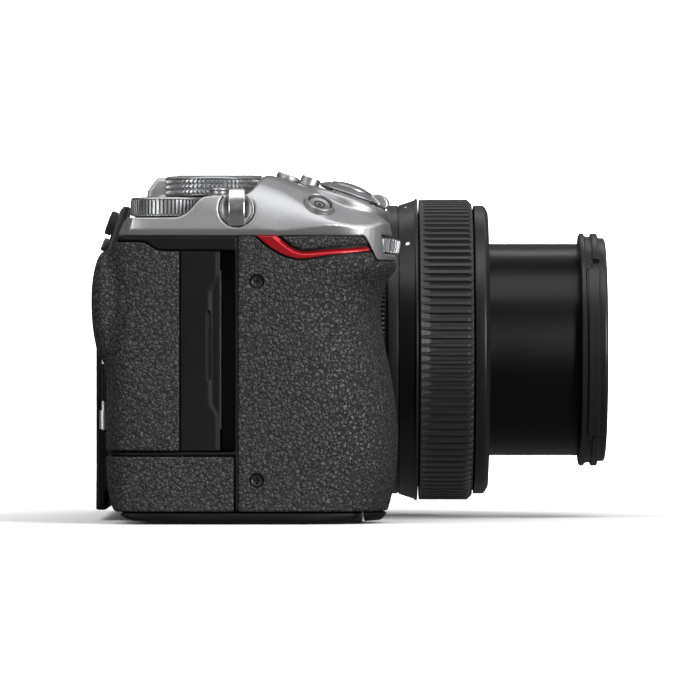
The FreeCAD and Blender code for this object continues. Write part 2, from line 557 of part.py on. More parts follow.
UP = (0.0, 0.0, 1.0)
node(dial("mode_dial_set", MODE_P, UP, D["mode_radius"], D["mode_height"], 3.6), "mode_dial")
node(dial("rear_dial_set", RDIAL_P, UP, D["rear_dial_radius"], D["rear_dial_height"], 3.2), "rear_dial")
node(dial("front_dial_set", FD_P, FD_N, D["front_dial_radius"], D["front_dial_height"], 2.6, 0.4, 1.3),
     "front_dial")
node(fuse("lock_set", lathe_z("lock_cap", [(0, 0.35), (2.3, 0.35), (2.3, 1.1), (2.0, 1.35), (0, 1.35)],
                              at(*LOCK_P)), cyl("lock_stem", 1.2, 3.6, (LOCK_P[0], LOCK_P[1], 66.9))),
     "lock_button")
node(fuse("flat_set", lathe_z("flat_cap", [(0, 0.45), (2.4, 0.45), (2.4, 0.95), (2.1, 1.2), (0, 1.2)],
                              at(*FLAT_P, NR)), cyl("flat_stem", 1.2, 3.6, along(FLAT_P, NR, -3.0), NR)),
     "flat_button")
node(fuse("record_set", lathe_z("record_cap", [(0, 0.5), (2.0, 0.5), (2.0, 2.3), (1.75, 2.5),
                                               (1.4, 2.45), (0, 2.0)], at(*REC_P, NR)),
          cyl("record_stem", 1.2, 3.6, along(REC_P, NR, -2.9), NR)), "record_button")
node(fuse("release_set", lathe_z("release_cap", [(0, 2.9), (4.55, 2.9), (4.6, 3.1), (4.35, 3.5),
                                                 (3.0, 4.0), (1.4, 4.25), (0, 4.3)], at(*FOOT, NR)),
          cyl("release_stem", "Dims.shaft_radius", 6.4, along(FOOT, NR, -3.4), NR)), "shutter_button")
lever_ring = lathe_z("lever_ring", [(4.25, 1.45), (7.15, 1.45), (7.15, 2.1), (5.3, 3.75), (4.95, 3.75),
                                    (4.95, 1.95), (4.25, 1.95)], at(*FOOT, NR))
tab = box("lever_tab_mass", 6.6, 9.5, -3.2, 3.2, 1.5, 3.2)
tab.Placement = at(*FOOT, NR).multiply(FreeCAD.Placement(V(6.6, -3.2, 1.5), FreeCAD.Rotation()))
node(fuse("lever_set", lever_ring, tab), "power_lever")
node(cut("bezel_cut", oval("bezel_mass", 3.15, 3.0, -1.25, 1.0), oval("bezel_room", 2.75, 2.6, -0.75, 1.5),
         oval("bezel_way", 1.3, 1.3, -2.0, 1.0)), "fn_bezel")
node(fuse("fn_set", oval("fn_cap", 2.45, 2.3, 0.0, 0.55), oval("fn_stem", 1.0, 1.0, -4.5, 0.1)), "fn_button")

# --------------------------------------------------------------- rear controls
stick_cap = lathe_z("stick_cap", [(0, 0.75), (2.5, 0.75), (2.7, 1.0), (2.7, 2.0), (2.4, 2.25), (0, 2.1)],
                    at(*STICK_P, PANEL_N))
node(fuse("stick_set", stick_cap, cyl("stick_stem", 1.0, 3.2, along(STICK_P, PANEL_N, -2.4), PANEL_N),
          cyl("stick_foot", 1.6, 0.8, along(STICK_P, PANEL_N, -3.2), PANEL_N)), "thumb_stick")
node(fuse("rbutton_set", cyl("rbutton_cap", 1.5, 0.9, along(BUTTON_P, PANEL_N, 0.6), PANEL_N),
          cyl("rbutton_stem", 0.95, 3.6, along(BUTTON_P, PANEL_N, -2.8), PANEL_N)), "rear_button")
node(fuse("wheel_set", lathe_z("wheel_rim", [(0, 0.0), (8.0, 0.0), (8.0, 1.2), (7.4, 1.9), (3.8, 1.9),
                                             (3.6, 1.5), (0, 1.5)],
                               at(-27.75, WHEEL_P[1], WHEEL_P[2], (-1, 0, 0))),
          cyl("wheel_shaft", SH, 4.6, (-23.2, WHEEL_P[1], WHEEL_P[2]), (-1, 0, 0))), "rear_wheel")

# ------------------------------------------------------------------- card door
door_zone = box("door_zone", -40.0, -DF, -80.0, -60.0, DB, DT)
bulge = prism("thumb_rest", "XZ", [(-28.7, 34.0), (-28.7, 57.4), (-29.5, 54.6), (-30.4, 52.6),
                                   (-31.0, 48.4), (-30.8, 45.2), (-30.1, 42.0)], 8.4, at=-61.4)
knuckle_slots = []
for i, (z0, z1) in enumerate(ARMS):
    knuckle_slots.append(box("door_slot%d" % i, -31.0, -25.0, -61.9, -58.0, z0 - 0.3, z1 + 0.3))
door_pin_way = cyl("door_pin_way", "Dims.pin_radius + Dims.running_gap", 60.0, (HINGE[0], HINGE[1], 5.0))
door_plate = cut("door_plate", common("door_raw", form_skin("door_outer"), door_zone),
                 form_in("door_inner"))
door_knuckle = fuse("door_knuckles", cyl("door_knuckle_a", 1.0, 8.0, (HINGE[0], HINGE[1], 26.0)),
                    cyl("door_knuckle_b", 1.0, 8.0, (HINGE[0], HINGE[1], 40.0)),
                    box("door_web_a", -29.0, -27.4, -61.2, -60.0, 26.0, 34.0),
                    box("door_web_b", -29.0, -27.4, -61.2, -60.0, 40.0, 48.0))
node(cut("door_cut", fuse("door_full", door_plate, door_knuckle), door_pin_way, *knuckle_slots),
     "card_door")
door_skin_raw = common("door_skin_raw", cut("skin_shell6", form_out("skin_outer6"),
                                            form_skin("skin_inner6")),
                       box("door_skin_zone", -40.0, -12.4, -80.0, -61.2, DB, DT))
node(cut("door_skin_cut", fuse("door_skin_full", door_skin_raw, bulge), *knuckle_slots,
         cyl("door_skin_clear", 1.1, 60.0, (HINGE[0], HINGE[1], 5.0))), "door_skin")
arms = [fuse("arm%d" % i, box("arm_bar%d" % i, -29.0, -21.9, -59.3, -57.9, z0, z1),
             cyl("arm_knuckle%d" % i, 1.0, z1 - z0, (HINGE[0], HINGE[1], z0)))
        for i, (z0, z1) in enumerate(ARMS)]
node(fuse("carrier_set", box("carrier_plate", -22.9, -21.9, -59.3, -54.0, 18.0, 56.0), *arms,
          cyl("door_pin", "Dims.pin_radius", 34.5, (HINGE[0], HINGE[1], 19.8))), "door_carrier")
node(cut("slots_cut", box("slots_mass", -20.0, -3.6, -68.0, -45.0, 20.0, 54.0),
         box("slot_a", -18.6, -5.0, -69.0, -47.0, 22.0, 36.0),
         box("slot_b", -18.6, -5.0, -69.0, -47.0, 38.0, 52.0)), "card_slots")

# ---------------------------------------------------------- battery and its door
node(box("battery_mass", 3.0, 25.7, -66.2, -49.8, 3.0, 41.7, Length="Dims.battery_width",
         Width="Dims.battery_depth", Height="Dims.battery_height"), "battery")
BD = (1.3, 26.7, -67.7, -47.2)
bd_hinge = (-47.2, 1.15)
bd_mass = fuse("bdoor_mass", box("bdoor_plate", BD[0], BD[1], BD[2], bd_hinge[0], 0.15, 2.1),
               cyl("bdoor_roll", 0.95, BD[1] - BD[0], (BD[0], bd_hinge[0], bd_hinge[1]), (1, 0, 0)))
node(cut("bdoor_cut", bd_mass, box("latch_well", 9.0, 19.0, -66.8, -60.0, -0.5, 1.1)), "battery_door")
node(fuse("latch_set", box("latch_slider", 9.5, 18.5, -65.0, -61.0, 0.2, 1.05),
          box("latch_rib", 12.0, 16.0, -64.0, -62.0, 0.05, 0.3)), "battery_latch")

# ----------------------------------------------------------- port door and block
node(fuse("port_set", box("port_plate", PORT[0], PORT[1], 52.4, 53.9, PORT[2], PORT[3]),
          cyl("port_roll", 0.7, PORT[3] - PORT[2], (PORT[1] + 0.6, 53.2, PORT[2])),
          box("port_web", PORT[1] - 0.1, PORT[1] + 0.6, 52.5, 53.9, PORT[2], PORT[3])), "port_cover")
node(cut("ports_cut", box("ports_mass", -18.5, -5.5, 48.6, 51.9, 32.0, 52.0),
         box("port_a", -16.5, -7.5, 50.0, 53.0, 34.0, 37.2),
         cyl("port_b", 1.8, 4.0, (-14.5, 50.0, 42.0), (0, 1, 0)),
         cyl("port_c", 1.8, 4.0, (-9.0, 50.0, 42.0), (0, 1, 0)),
         box("port_d", -17.0, -7.0, 50.0, 53.0, 46.0, 49.5)), "port_block")

# ---------------------------------------------------------------------- screen
SX0, SX1 = -31.6, -27.0
SC_AX = (-30.6, 54.2)             # upper axis of the screen (X, Z)
screen_mass = fuse("screen_mass", box("screen_slab", SX0, SX1, -38.0, 42.0, 6.2, 55.2),
                   box("screen_lip", SX0, -29.2, -38.0, 42.0, 2.0, 6.3))
EARS = [(-24.0, -18.0), (22.0, 28.0)]
ear_ways = [box("ear_way%d" % i, -32.0, -26.0, a - 0.3, b + 0.3, 49.3, 56.0)
            for i, (a, b) in enumerate(EARS)]
screen_pin_way = cyl("screen_pin_way", "Dims.pin_radius + Dims.running_gap", 58.0,
                     (SC_AX[0], -27.0, SC_AX[1]), (0, 1, 0))
screen_well = box("glass_well", -32.0, -31.0, -36.0, 40.0, 8.0, 52.0)
node(cut("screen_cut", screen_mass, *ear_ways, screen_pin_way, screen_well,
         box("screen_room_inside", -29.8, -28.0, -35.0, 39.0, 9.0, 48.0)), "screen_frame")
node(box("screen_glass_mass", -31.4, -31.0, -35.9, 39.9, 8.1, 51.9), "screen_glass")
ears = [fuse("ear%d" % i, box("ear_a%d" % i, -26.8, -25.8, a, b, 44.0, 51.5),
             prism("ear_b%d" % i, "XZ", [(-26.8, 49.8), (-25.8, 49.8), (-25.8, 51.5), (-30.2, 55.1),
                                         (-31.3, 54.0), (-30.8, 53.3)], b - a, at=b),
             cyl("ear_c%d" % i, 0.98, b - a, (SC_AX[0], a, SC_AX[1]), (0, 1, 0)))
        for i, (a, b) in enumerate(EARS)]
br_plate = box("bracket_plate", -26.8, -25.8, -26.0, 30.0, 5.0, 48.0, Length="Dims.bracket_thick")
br_roll = cyl("bracket_roll", 1.2, 56.0, (BR_AX[0], -26.0, BR_AX[1]), (0, 1, 0))
br_web = box("bracket_web", -27.5, -25.8, -26.0, 30.0, 3.6, 5.2)
node(fuse("bracket_set", br_plate, br_roll, br_web, *ears,
          cyl("screen_pin", "Dims.pin_radius", 56.0, (SC_AX[0], -26.0, SC_AX[1]), (0, 1, 0)),
          cyl("bracket_pin", "Dims.pin_radius", 62.4, (BR_AX[0], -29.2, BR_AX[1]), (0, 1, 0))),
     "tilt_bracket")

# ------------------------------------------------------------- inner units
node(fuse("sensor_set", box("sensor_board", -7.0, -5.6, -26.0, 26.0, 18.0, 56.2),
          box("sensor_block", -5.7, -1.0, -21.0, 21.0, 22.0, 52.2),
          box("sensor_glass", -1.1, 0.8, -18.0, 18.0, 25.1, 49.1)), "sensor_unit")
node(cut("gate_cut", box("gate_mass", 3.0, 7.0, -28.0, 28.0, 17.0, 56.4),
         box("gate_window", 2.0, 8.0, -18.0, 18.0, LZ - 12.0, LZ + 12.0),
         box("gate_track", 4.4, 5.6, -19.3, 19.3, 22.0, 56.0)), "shutter_unit")
node(box("blade_pack", 4.7, 5.3, -18.8, 18.8, 49.3, 55.6), "shutter_blades")
node(box("board_mass", -17.5, -16.1, -40.0, 42.0, 6.0, 55.0, Height="Dims.door_top - 9.2"), "main_board")

# ---------------------------------------------------------------------- lens
node(fuse("bayonet_set", lathe_x("bayonet_plate", [(17.8, 21.5), (17.8, 28.8), (18.8, 28.8), (18.8, 21.5)]),
          lathe_x("bayonet_tube", [(14.3, 21.5), (14.3, 22.6), (17.9, 22.6), (17.9, 21.5)]),
          *[lathe_x("bayonet_claw%d" % i, [(14.3, 22.0), (14.3, 23.35), (16.0, 23.35), (16.0, 22.0)],
                    48.0, 30.0 + 120.0 * i) for i in range(3)]), "lens_bayonet")
RR, ZR = D["ring_radius"], D["zoom_radius"]
node(lathe_x("rear_barrel_turned", [(18.8, 24.0), (18.8, 31.2), (19.3, 31.6), (23.9, 31.6), (23.9, 29.4),
                                    (32.3, 29.4), (32.3, 27.0), (20.3, 27.0), (20.3, 24.0)]),
     "rear_barrel")
node(lathe_x("control_turned", [(24.2, 29.45), (24.2, 32.1), (24.5, RR), (31.7, RR), (32.0, 32.1),
                                (32.0, 29.45)]), "control_ring")
mid = lathe_x("middle_turned", [(32.3, 27.0), (32.3, RR), (34.7, RR), (39.1, ZR), (39.1, 29.2),
                                (54.0, 29.2), (54.0, 27.0)])
node(cut("middle_cut", mid, lathe_x("key_slot", [(42.9, 26.0), (42.9, 30.0), (47.1, 30.0), (47.1, 26.0)],
                                    98.0, -9.0)), "middle_barrel")
node(lathe_x("zoom_turned", [(39.4, 29.25), (39.4, 33.2), (39.9, ZR), (50.3, ZR), (51.3, 32.7),
                             (51.3, 29.25)]), "zoom_ring")
node(fuse("cam_set", lathe_x("cam_turned", [(22.0, 25.6), (22.0, 26.95), (53.0, 26.95), (53.0, 25.6)]),
          cyl("cam_key", 1.5, 2.6, (45.0, 0.0, LZ + 26.6))), "cam_tube")
node(lathe_x("sleeve_turned", [(51.6, 29.2), (51.6, 32.2), (51.9, RR), (54.0, RR), (54.9, 31.0),
                               (54.9, 23.85), (54.0, 23.85), (54.0, 29.2)]), "front_sleeve")
BR, BB = D["barrel_radius"], D["barrel_bore"]
inner = lathe_x("inner_turned", [(41.0, BB), (41.0, 25.55), (44.0, 25.55), (44.0, BR), (75.3, BR),
                                 (75.3, BB)])
node(fuse("inner_set", inner,
          lathe_x("front_seat", [(69.0, 16.5), (69.0, BB + 0.2), (76.2, BB + 0.2), (76.2, 17.6), (72.0, 16.5)])),
     "inner_barrel")
FF = D["front_flange"]
node(lathe_x("filter_turned", [(75.3, BB + 0.2), (75.3, FF), (76.5, FF), (76.5, 25.4), (77.9, 25.4),
                               (77.9, FF), (79.4, FF), (79.4, 25.1), (80.8, 25.1), (81.2, 24.7),
                               (81.2, 23.0), (78.3, 23.0), (78.3, 22.6), (76.3, BB + 0.2)]),
     "filter_ring")
node(lathe_x("name_turned", [(76.3, 17.7), (76.3, 21.9), (78.2, 22.4), (78.2, 21.0), (76.9, 17.7)]),
     "name_ring")
node(lathe_x("glass_turned", [(72.1, 0.0), (72.1, 16.4), (74.6, 17.0), (75.4, 13.6), (76.2, 8.6),
                              (76.5, 4.0), (76.6, 0.0)]), "front_glass")
node(lathe_x("iris_turned", [(59.0, 9.0), (59.0, BB), (63.0, BB), (63.0, 11.5), (61.6, 11.5),
                             (61.6, 9.0)]), "iris_unit")
node(cut("focus_cut", lathe_x("focus_turned", [(28.0, 0.0), (28.0, 18.5), (32.0, 18.5), (33.0, 12.0),
                                               (34.5, 8.0), (35.0, 0.0)]),
         cyl("rod_way_a", 0.85, 12.0, (25.0, 0, LZ + 16.5), (1, 0, 0)),
         cyl("rod_way_b", 0.85, 12.0, (25.0, 0, LZ - 16.5), (1, 0, 0))), "focus_group")
node(fuse("rear_cell_set", lathe_x("rear_cell_turned", [(18.8, 0.0), (18.8, 24.0), (20.3, 24.0), (20.3, 15.0),
                                                        (22.4, 14.0), (23.2, 8.0), (23.4, 0.0)]),
          cyl("rod_a", 0.8, 18.4, (20.1, 0, LZ + 16.5), (1, 0, 0)),
          cyl("rod_b", 0.8, 18.4, (20.1, 0, LZ - 16.5), (1, 0, 0))), "rear_cell")
node(fuse("lens_release_set", cyl("release_cap_side", 3.05, 3.25, (15.5, RELEASE_P[1], RELEASE_P[2]), (1, 0, 0)),
          cyl("release_pin", 1.3, 5.2, (10.4, RELEASE_P[1], RELEASE_P[2]), (1, 0, 0))), "lens_button")

# ------------------------------------------------------------ check and write
doc.recompute()
bad = []
for obj in doc.Objects:
    if "Invalid" in obj.State or "Error" in obj.State:
        bad.append("%s %s" % (obj.Name, obj.State))
for obj, name in NODES:
    shape = obj.Shape
    if shape.isNull() or not shape.isValid() or not shape.Solids:
        bad.append("bad shape: " + name)
if bad:
    raise SystemExit("\n".join(bad))
for obj, name in NODES:
    shape = obj.Shape
    bb = shape.BoundBox
    print("%-16s solids %d vol %9.1f  X %6.1f %6.1f  Y %6.1f %6.1f  Z %6.1f %6.1f" % (
        name, len(shape.Solids), shape.Volume, bb.XMin, bb.XMax, bb.YMin, bb.YMax, bb.ZMin, bb.ZMax))
    shape.exportStep("parts/%s.step" % name)
print(len(NODES), "nodes")
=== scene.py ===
import json
import math

import bpy
import numpy as np
from mathutils import Matrix, Vector

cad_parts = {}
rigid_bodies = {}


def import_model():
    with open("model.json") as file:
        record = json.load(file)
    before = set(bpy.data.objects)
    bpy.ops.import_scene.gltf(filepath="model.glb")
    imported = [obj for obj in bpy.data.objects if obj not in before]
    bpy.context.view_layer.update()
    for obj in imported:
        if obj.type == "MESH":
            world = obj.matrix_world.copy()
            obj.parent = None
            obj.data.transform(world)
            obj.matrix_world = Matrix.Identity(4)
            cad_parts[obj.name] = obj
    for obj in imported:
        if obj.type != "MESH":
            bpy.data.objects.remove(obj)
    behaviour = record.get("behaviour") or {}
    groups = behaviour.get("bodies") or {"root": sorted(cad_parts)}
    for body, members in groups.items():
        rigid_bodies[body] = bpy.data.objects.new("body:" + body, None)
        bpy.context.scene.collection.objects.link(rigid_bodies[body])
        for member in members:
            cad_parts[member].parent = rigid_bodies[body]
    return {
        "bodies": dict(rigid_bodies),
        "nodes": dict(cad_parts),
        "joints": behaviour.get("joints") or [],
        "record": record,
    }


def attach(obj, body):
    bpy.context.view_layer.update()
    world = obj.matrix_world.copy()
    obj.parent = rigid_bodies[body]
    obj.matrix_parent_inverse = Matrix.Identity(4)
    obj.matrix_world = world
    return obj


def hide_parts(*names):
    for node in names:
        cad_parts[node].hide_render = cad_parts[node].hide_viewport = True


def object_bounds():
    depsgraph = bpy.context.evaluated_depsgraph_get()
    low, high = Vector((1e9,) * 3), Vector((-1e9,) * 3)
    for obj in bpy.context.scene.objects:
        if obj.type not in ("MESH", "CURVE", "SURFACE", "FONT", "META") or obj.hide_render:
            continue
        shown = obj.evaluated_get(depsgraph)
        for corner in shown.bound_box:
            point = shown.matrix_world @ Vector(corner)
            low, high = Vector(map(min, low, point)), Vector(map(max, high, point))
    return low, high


# Mirrorless camera with a compact zoom lens. Lengths below are millimetres in the
# frame of the CAD: +X the way the lens points, +Z up, -Y the grip side.

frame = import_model()
BOX0 = [list(map(float, v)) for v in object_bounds()]
MM = 0.001
scene = bpy.context.scene
PI = math.pi
T19 = math.radians(19.0)
NR = (math.sin(T19), 0.0, math.cos(T19))
LZ = 37.1


# =============================================================== camera and light
cam_data = bpy.data.cameras.new("view")
cam_data.sensor_fit = "HORIZONTAL"
cam_data.sensor_width = 36.0
cam_data.lens = 320.0
cam_data.clip_start = 0.05
cam_data.clip_end = 20.0
cam = bpy.data.objects.new("view", cam_data)
scene.collection.objects.link(cam)
cam.location = (0.024, -1.400, 0.037)
cam.rotation_euler = (PI / 2, 0, 0)
scene.camera = cam


def area(name, loc, target, sx, sy, power, colour=(1, 1, 1)):
    d = bpy.data.lights.new(name, "AREA")
    d.shape = "RECTANGLE"
    d.size, d.size_y = sx, sy
    d.energy = power
    d.color = colour
    o = bpy.data.objects.new(name, d)
    o.location = loc
    o.rotation_euler = (Vector(target) - Vector(loc)).to_track_quat("-Z", "Y").to_euler()
    scene.collection.objects.link(o)
    return o


# ===================================================================== node helpers
LEATHER_BUMP = 0.15


class Mat:
    """Small helper round one principled material."""

    def __init__(self, name, **sockets):
        self.m = bpy.data.materials.new(name)
        self.m.use_nodes = True
        self.t = self.m.node_tree
        self.t.nodes.clear()
        self.out = self.t.nodes.new("ShaderNodeOutputMaterial")
        self.b = self.t.nodes.new("ShaderNodeBsdfPrincipled")
        self.link(self.b.outputs[0], self.out.inputs[0])
        for k, v in sockets.items():
            self.set(k.replace("_", " "), v)

    def set(self, name, v):
        if isinstance(v, tuple) and len(v) == 3:
            v = (*v, 1.0)
        self.b.inputs[name].default_value = v
        return self

    def node(self, kind, **props):
        n = self.t.nodes.new("ShaderNode" + kind)
        for k, v in props.items():
            setattr(n, k, v)
        return n

    def link(self, a, b):
        self.t.links.new(a, b)

    def feed(self, n, name, v):
        s = n.inputs[name]
        if hasattr(v, "default_value") and hasattr(v, "is_linked"):
            self.link(v, s)
        else:
            s.default_value = v

    def coords(self, scale=(1, 1, 1)):
        c = self.node("TexCoord")
        mp = self.node("Mapping")
        self.link(c.outputs["Object"], mp.inputs["Vector"])
        mp.inputs["Scale"].default_value = scale
        return mp.outputs[0]

    def noise(self, vec, scale, detail=3.0, rough=0.5, distortion=0.0):
        n = self.node("TexNoise")
        self.link(vec, n.inputs["Vector"])
        n.inputs["Scale"].default_value = scale
        n.inputs["Detail"].default_value = detail
        n.inputs["Roughness"].default_value = rough
        n.inputs["Distortion"].default_value = distortion
        return n

    def voronoi(self, vec, scale, feature="F1", smooth=None, rand=1.0, metric="EUCLIDEAN"):
        n = self.node("TexVoronoi", feature=feature)
        if feature != "DISTANCE_TO_EDGE":
            n.distance = metric
        self.link(vec, n.inputs["Vector"])
        n.inputs["Scale"].default_value = scale
        n.inputs["Randomness"].default_value = rand
        if smooth is not None:
            n.inputs["Smoothness"].default_value = smooth
        return n

    def math(self, op, a, b=0.0, c=None, clamp=False):
        n = self.node("Math", operation=op, use_clamp=clamp)
        for i, v in enumerate((a, b, c)):
            if v is None:
                continue
            if hasattr(v, "is_linked"):
                self.link(v, n.inputs[i])
            else:
                n.inputs[i].default_value = v
        return n.outputs[0]

    def ramp(self, fac, stops, mode="LINEAR"):
        n = self.node("ValToRGB")
        n.color_ramp.interpolation = mode
        e = n.color_ramp.elements
        while len(e) < len(stops):
            e.new(0.5)
        for el, (p, col) in zip(e, stops):
            el.position = p
            el.color = (col, col, col, 1) if isinstance(col, (int, float)) else (*col, 1)
        self.link(fac, n.inputs[0])
        return n.outputs[0]

    def span(self, v, a, b, c, d, clamp=True):
        n = self.node("MapRange", clamp=clamp)
        self.link(v, n.inputs[0])
        for i, x in enumerate((a, b, c, d)):
            n.inputs[i + 1].default_value = x
        return n.outputs[0]

    def mix(self, fac, a, b, blend="MIX"):
        n = self.node("Mix", data_type="RGBA", blend_type=blend)
        for s, v in ((n.inputs[0], fac), (n.inputs[6], a), (n.inputs[7], b)):
            if hasattr(v, "is_linked"):
                self.link(v, s)
            elif isinstance(v, tuple):
                s.default_value = (*v, 1.0)
            else:
                s.default_value = v
        return n.outputs[2]

    def bump(self, height, strength, dist, normal=None):
        n = self.node("Bump")
        n.inputs["Strength"].default_value = strength
        n.inputs["Distance"].default_value = dist * MM
        self.link(height, n.inputs["Height"])
        if normal is not None:
            self.link(normal, n.inputs["Normal"])
        return n.outputs[0]

    def normal(self, n):
        self.link(n, self.b.inputs["Normal"])
        return self

    def colour(self, c):
        self.link(c, self.b.inputs["Base Color"])
        return self

    def rough(self, r):
        self.link(r, self.b.inputs["Roughness"])
        return self

    def ao(self, dist, samples=4):
        n = self.node("AmbientOcclusion", samples=samples, only_local=True)
        n.inputs["Distance"].default_value = dist * MM
        return n.outputs["AO"]


MATS = {}


def material(fn):
    MATS[fn.__name__[2:]] = fn
    return fn


_made = {}


def mat(name):
    if name not in _made:
        _made[name] = MATS[name]()
    return _made[name]


# ========================================================================= finishes
MMS = (1000.0, 1000.0, 1000.0)


def grain(m, vec, scale=7.0, strength=0.25, dist=0.02, detail=2.0):
    n = m.noise(vec, scale, detail, 0.6)
    return m.bump(n.outputs[0], strength, dist)


@material
def m_silver():
    """Satin silver paint with a fine metallic grain."""
    m = Mat("silver_paint", Metallic=0.92, Roughness=0.44, Specular_IOR_Level=0.5)
    v = m.coords(MMS)
    fine = m.noise(v, 6.5, 2.0, 0.7)
    broad = m.noise(v, 0.09, 3.0, 0.5)
    flake = m.voronoi(v, 9.0)
    c = m.ramp(fine.outputs[0], [(0.30, (0.29, 0.293, 0.30)), (0.55, (0.362, 0.365, 0.372)), (0.75, (0.435, 0.438, 0.445))])
    c = m.mix(m.span(flake.outputs["Color"], 0.72, 1.0, 0.0, 0.22), c, (0.80, 0.80, 0.80))
    c = m.mix(m.span(broad.outputs[0], 0.35, 0.7, 0.0, 0.12), c, (0.47, 0.475, 0.485))
    m.colour(c)
    m.rough(m.span(fine.outputs[0], 0.3, 0.7, 0.40, 0.50))
    return m.normal(m.bump(fine.outputs[0], 0.22, 0.018)).m


def metal(name, col, rough, scale=9.0, strength=0.12, metallic=1.0, aniso=0.0, var=0.06, stretch=(1, 1, 1)):
    m = Mat(name, Metallic=metallic, Roughness=rough)
    v = m.coords(tuple(a * b for a, b in zip(MMS, stretch)))
    n = m.noise(v, scale, 3.0, 0.65)
    wide = m.noise(v, 0.35, 2.0, 0.5)
    lo = tuple(max(0.0, c * (1 - var)) for c in col)
    hi = tuple(min(1.0, c * (1 + var)) for c in col)
    c = m.ramp(n.outputs[0], [(0.3, lo), (0.7, hi)])
    c = m.mix(m.span(wide.outputs[0], 0.4, 0.7, 0.0, 0.15), c, tuple(x * 0.82 for x in col))
    m.colour(c)
    m.rough(m.span(wide.outputs[0], 0.3, 0.7, rough * 0.85, rough * 1.18))
    if aniso:
        m.set("Anisotropic", aniso)
    return m.normal(m.bump(n.outputs[0], strength, 0.01)).m


@material
def m_knob():
    return metal("silver_knob", (0.36, 0.364, 0.372), 0.42)


@material
def m_knob_top():
    m = Mat("silver_knob_top", Metallic=1.0, Roughness=0.3)
    v = m.coords(MMS)
    sep = m.node("SeparateXYZ")
    m.link(v, sep.inputs[0])
    n = m.noise(v, 5.0, 3.0, 0.6)
    m.colour(m.ramp(n.outputs[0], [(0.3, (0.58, 0.585, 0.60)), (0.7, (0.70, 0.70, 0.71))]))
    return m.normal(m.bump(n.outputs[0], 0.12, 0.012)).m


@material
def m_chrome():
    return metal("chrome", (0.60, 0.605, 0.61), 0.28, scale=12.0, strength=0.05)


@material
def m_steel():
    return metal("steel", (0.58, 0.57, 0.55), 0.24, scale=8.0, strength=0.12)


@material
def m_black_steel():
    return metal("black_steel", (0.035, 0.035, 0.037), 0.34, scale=9.0, strength=0.15, metallic=0.6, var=0.2)


@material
def m_brass():
    return metal("brass", (0.72, 0.52, 0.24), 0.25)


@material
def m_magnesium():
    return metal("magnesium", (0.42, 0.42, 0.41), 0.5, scale=5.0, strength=0.3)


@material
def m_red():
    """Red anodised strip."""
    m = Mat("red_anodised", Metallic=0.6, Roughness=0.3, Coat_Weight=0.35, Coat_Roughness=0.2)
    v = m.coords(MMS)
    n = m.noise(v, 8.0, 2.0, 0.6)
    m.colour(m.ramp(n.outputs[0], [(0.3, (0.38, 0.006, 0.014)), (0.7, (0.48, 0.010, 0.021))]))
    return m.normal(m.bump(n.outputs[0], 0.12, 0.012)).m


def plastic(name, col, rough, scale=5.0, strength=0.35, dist=0.02, spec=0.5, var=0.2):
    m = Mat(name, Roughness=rough, Specular_IOR_Level=spec)
    v = m.coords(MMS)
    n = m.noise(v, scale, 3.0, 0.65)
    wide = m.noise(v, 0.12, 3.0, 0.5)
    lo = tuple(c * (1 - var) for c in col)
    hi = tuple(c * (1 + var) for c in col)
    c = m.ramp(n.outputs[0], [(0.3, lo), (0.7, hi)])
    c = m.mix(m.span(wide.outputs[0], 0.4, 0.75, 0.0, 0.25), c, tuple(x * 1.35 for x in col))
    m.colour(c)
    m.rough(m.span(wide.outputs[0], 0.3, 0.7, rough * 0.92, rough * 1.1))
    return m.normal(m.bump(n.outputs[0], strength, dist)).m


@material
def m_black_plastic():
    """Matt black paint with a fine grain."""
    return plastic("black_plastic", (0.0036, 0.0036, 0.0038), 0.50, scale=3.4, strength=0.6, dist=0.05, spec=0.15)


@material
def m_dark_plastic():
    return plastic("dark_plastic", (0.020, 0.020, 0.021), 0.46, scale=6.0, strength=0.3)


@material
def m_deep():
    return plastic("deep_black", (0.003, 0.003, 0.003), 0.6, scale=6.0, strength=0.2)


@material
def m_rubber():
    return plastic("rubber", (0.018, 0.018, 0.018), 0.72, scale=8.0, strength=0.5, dist=0.03)


@material
def m_board():
    m = Mat("board", Roughness=0.5)
    v = m.coords(MMS)
    n = m.voronoi(v, 0.35, metric="MANHATTAN")
    m.colour(m.ramp(n.outputs[0], [(0.1, (0.012, 0.09, 0.045)), (0.5, (0.02, 0.13, 0.06))]))
    return m.normal(m.bump(n.outputs[0], 0.3, 0.05)).m


@material
def m_lens_black():
    """Satin black anodised lens barrel."""
    m = Mat("lens_black", Metallic=0.0, Roughness=0.36, Specular_IOR_Level=0.30)
    v = m.coords(MMS)
    n = m.noise(v, 7.0, 2.0, 0.6)
    wide = m.noise(v, 0.1, 3.0, 0.5)
    m.colour(m.ramp(n.outputs[0], [(0.3, (0.0065, 0.0065, 0.0068)), (0.7, (0.0098, 0.0098, 0.0102))]))
    m.rough(m.span(wide.outputs[0], 0.3, 0.7, 0.34, 0.41))
    return m.normal(m.bump(n.outputs[0], 0.22, 0.012)).m


@material
def m_barrel():
    """Smoother black tube of the drawn-out barrel."""
    m = Mat("barrel_black", Metallic=0.0, Roughness=0.30, Specular_IOR_Level=0.16)
    v = m.coords(MMS)
    n = m.noise(v, 7.0, 2.0, 0.6)
    wide = m.noise(v, 0.1, 3.0, 0.5)
    m.colour(m.ramp(n.outputs[0], [(0.3, (0.0014, 0.0014, 0.0015)), (0.7, (0.0022, 0.0022, 0.0023))]))
    m.rough(m.span(wide.outputs[0], 0.3, 0.7, 0.28, 0.32))
    return m.normal(m.bump(n.outputs[0], 0.15, 0.01)).m


@material
def m_white():
    return plastic("white_mark", (0.80, 0.80, 0.78), 0.5, var=0.05)


@material
def m_grey_mark():
    return plastic("grey_mark", (0.45, 0.45, 0.45), 0.5, var=0.08)


@material
def m_black_mark():
    return plastic("black_mark", (0.01, 0.01, 0.01), 0.5)


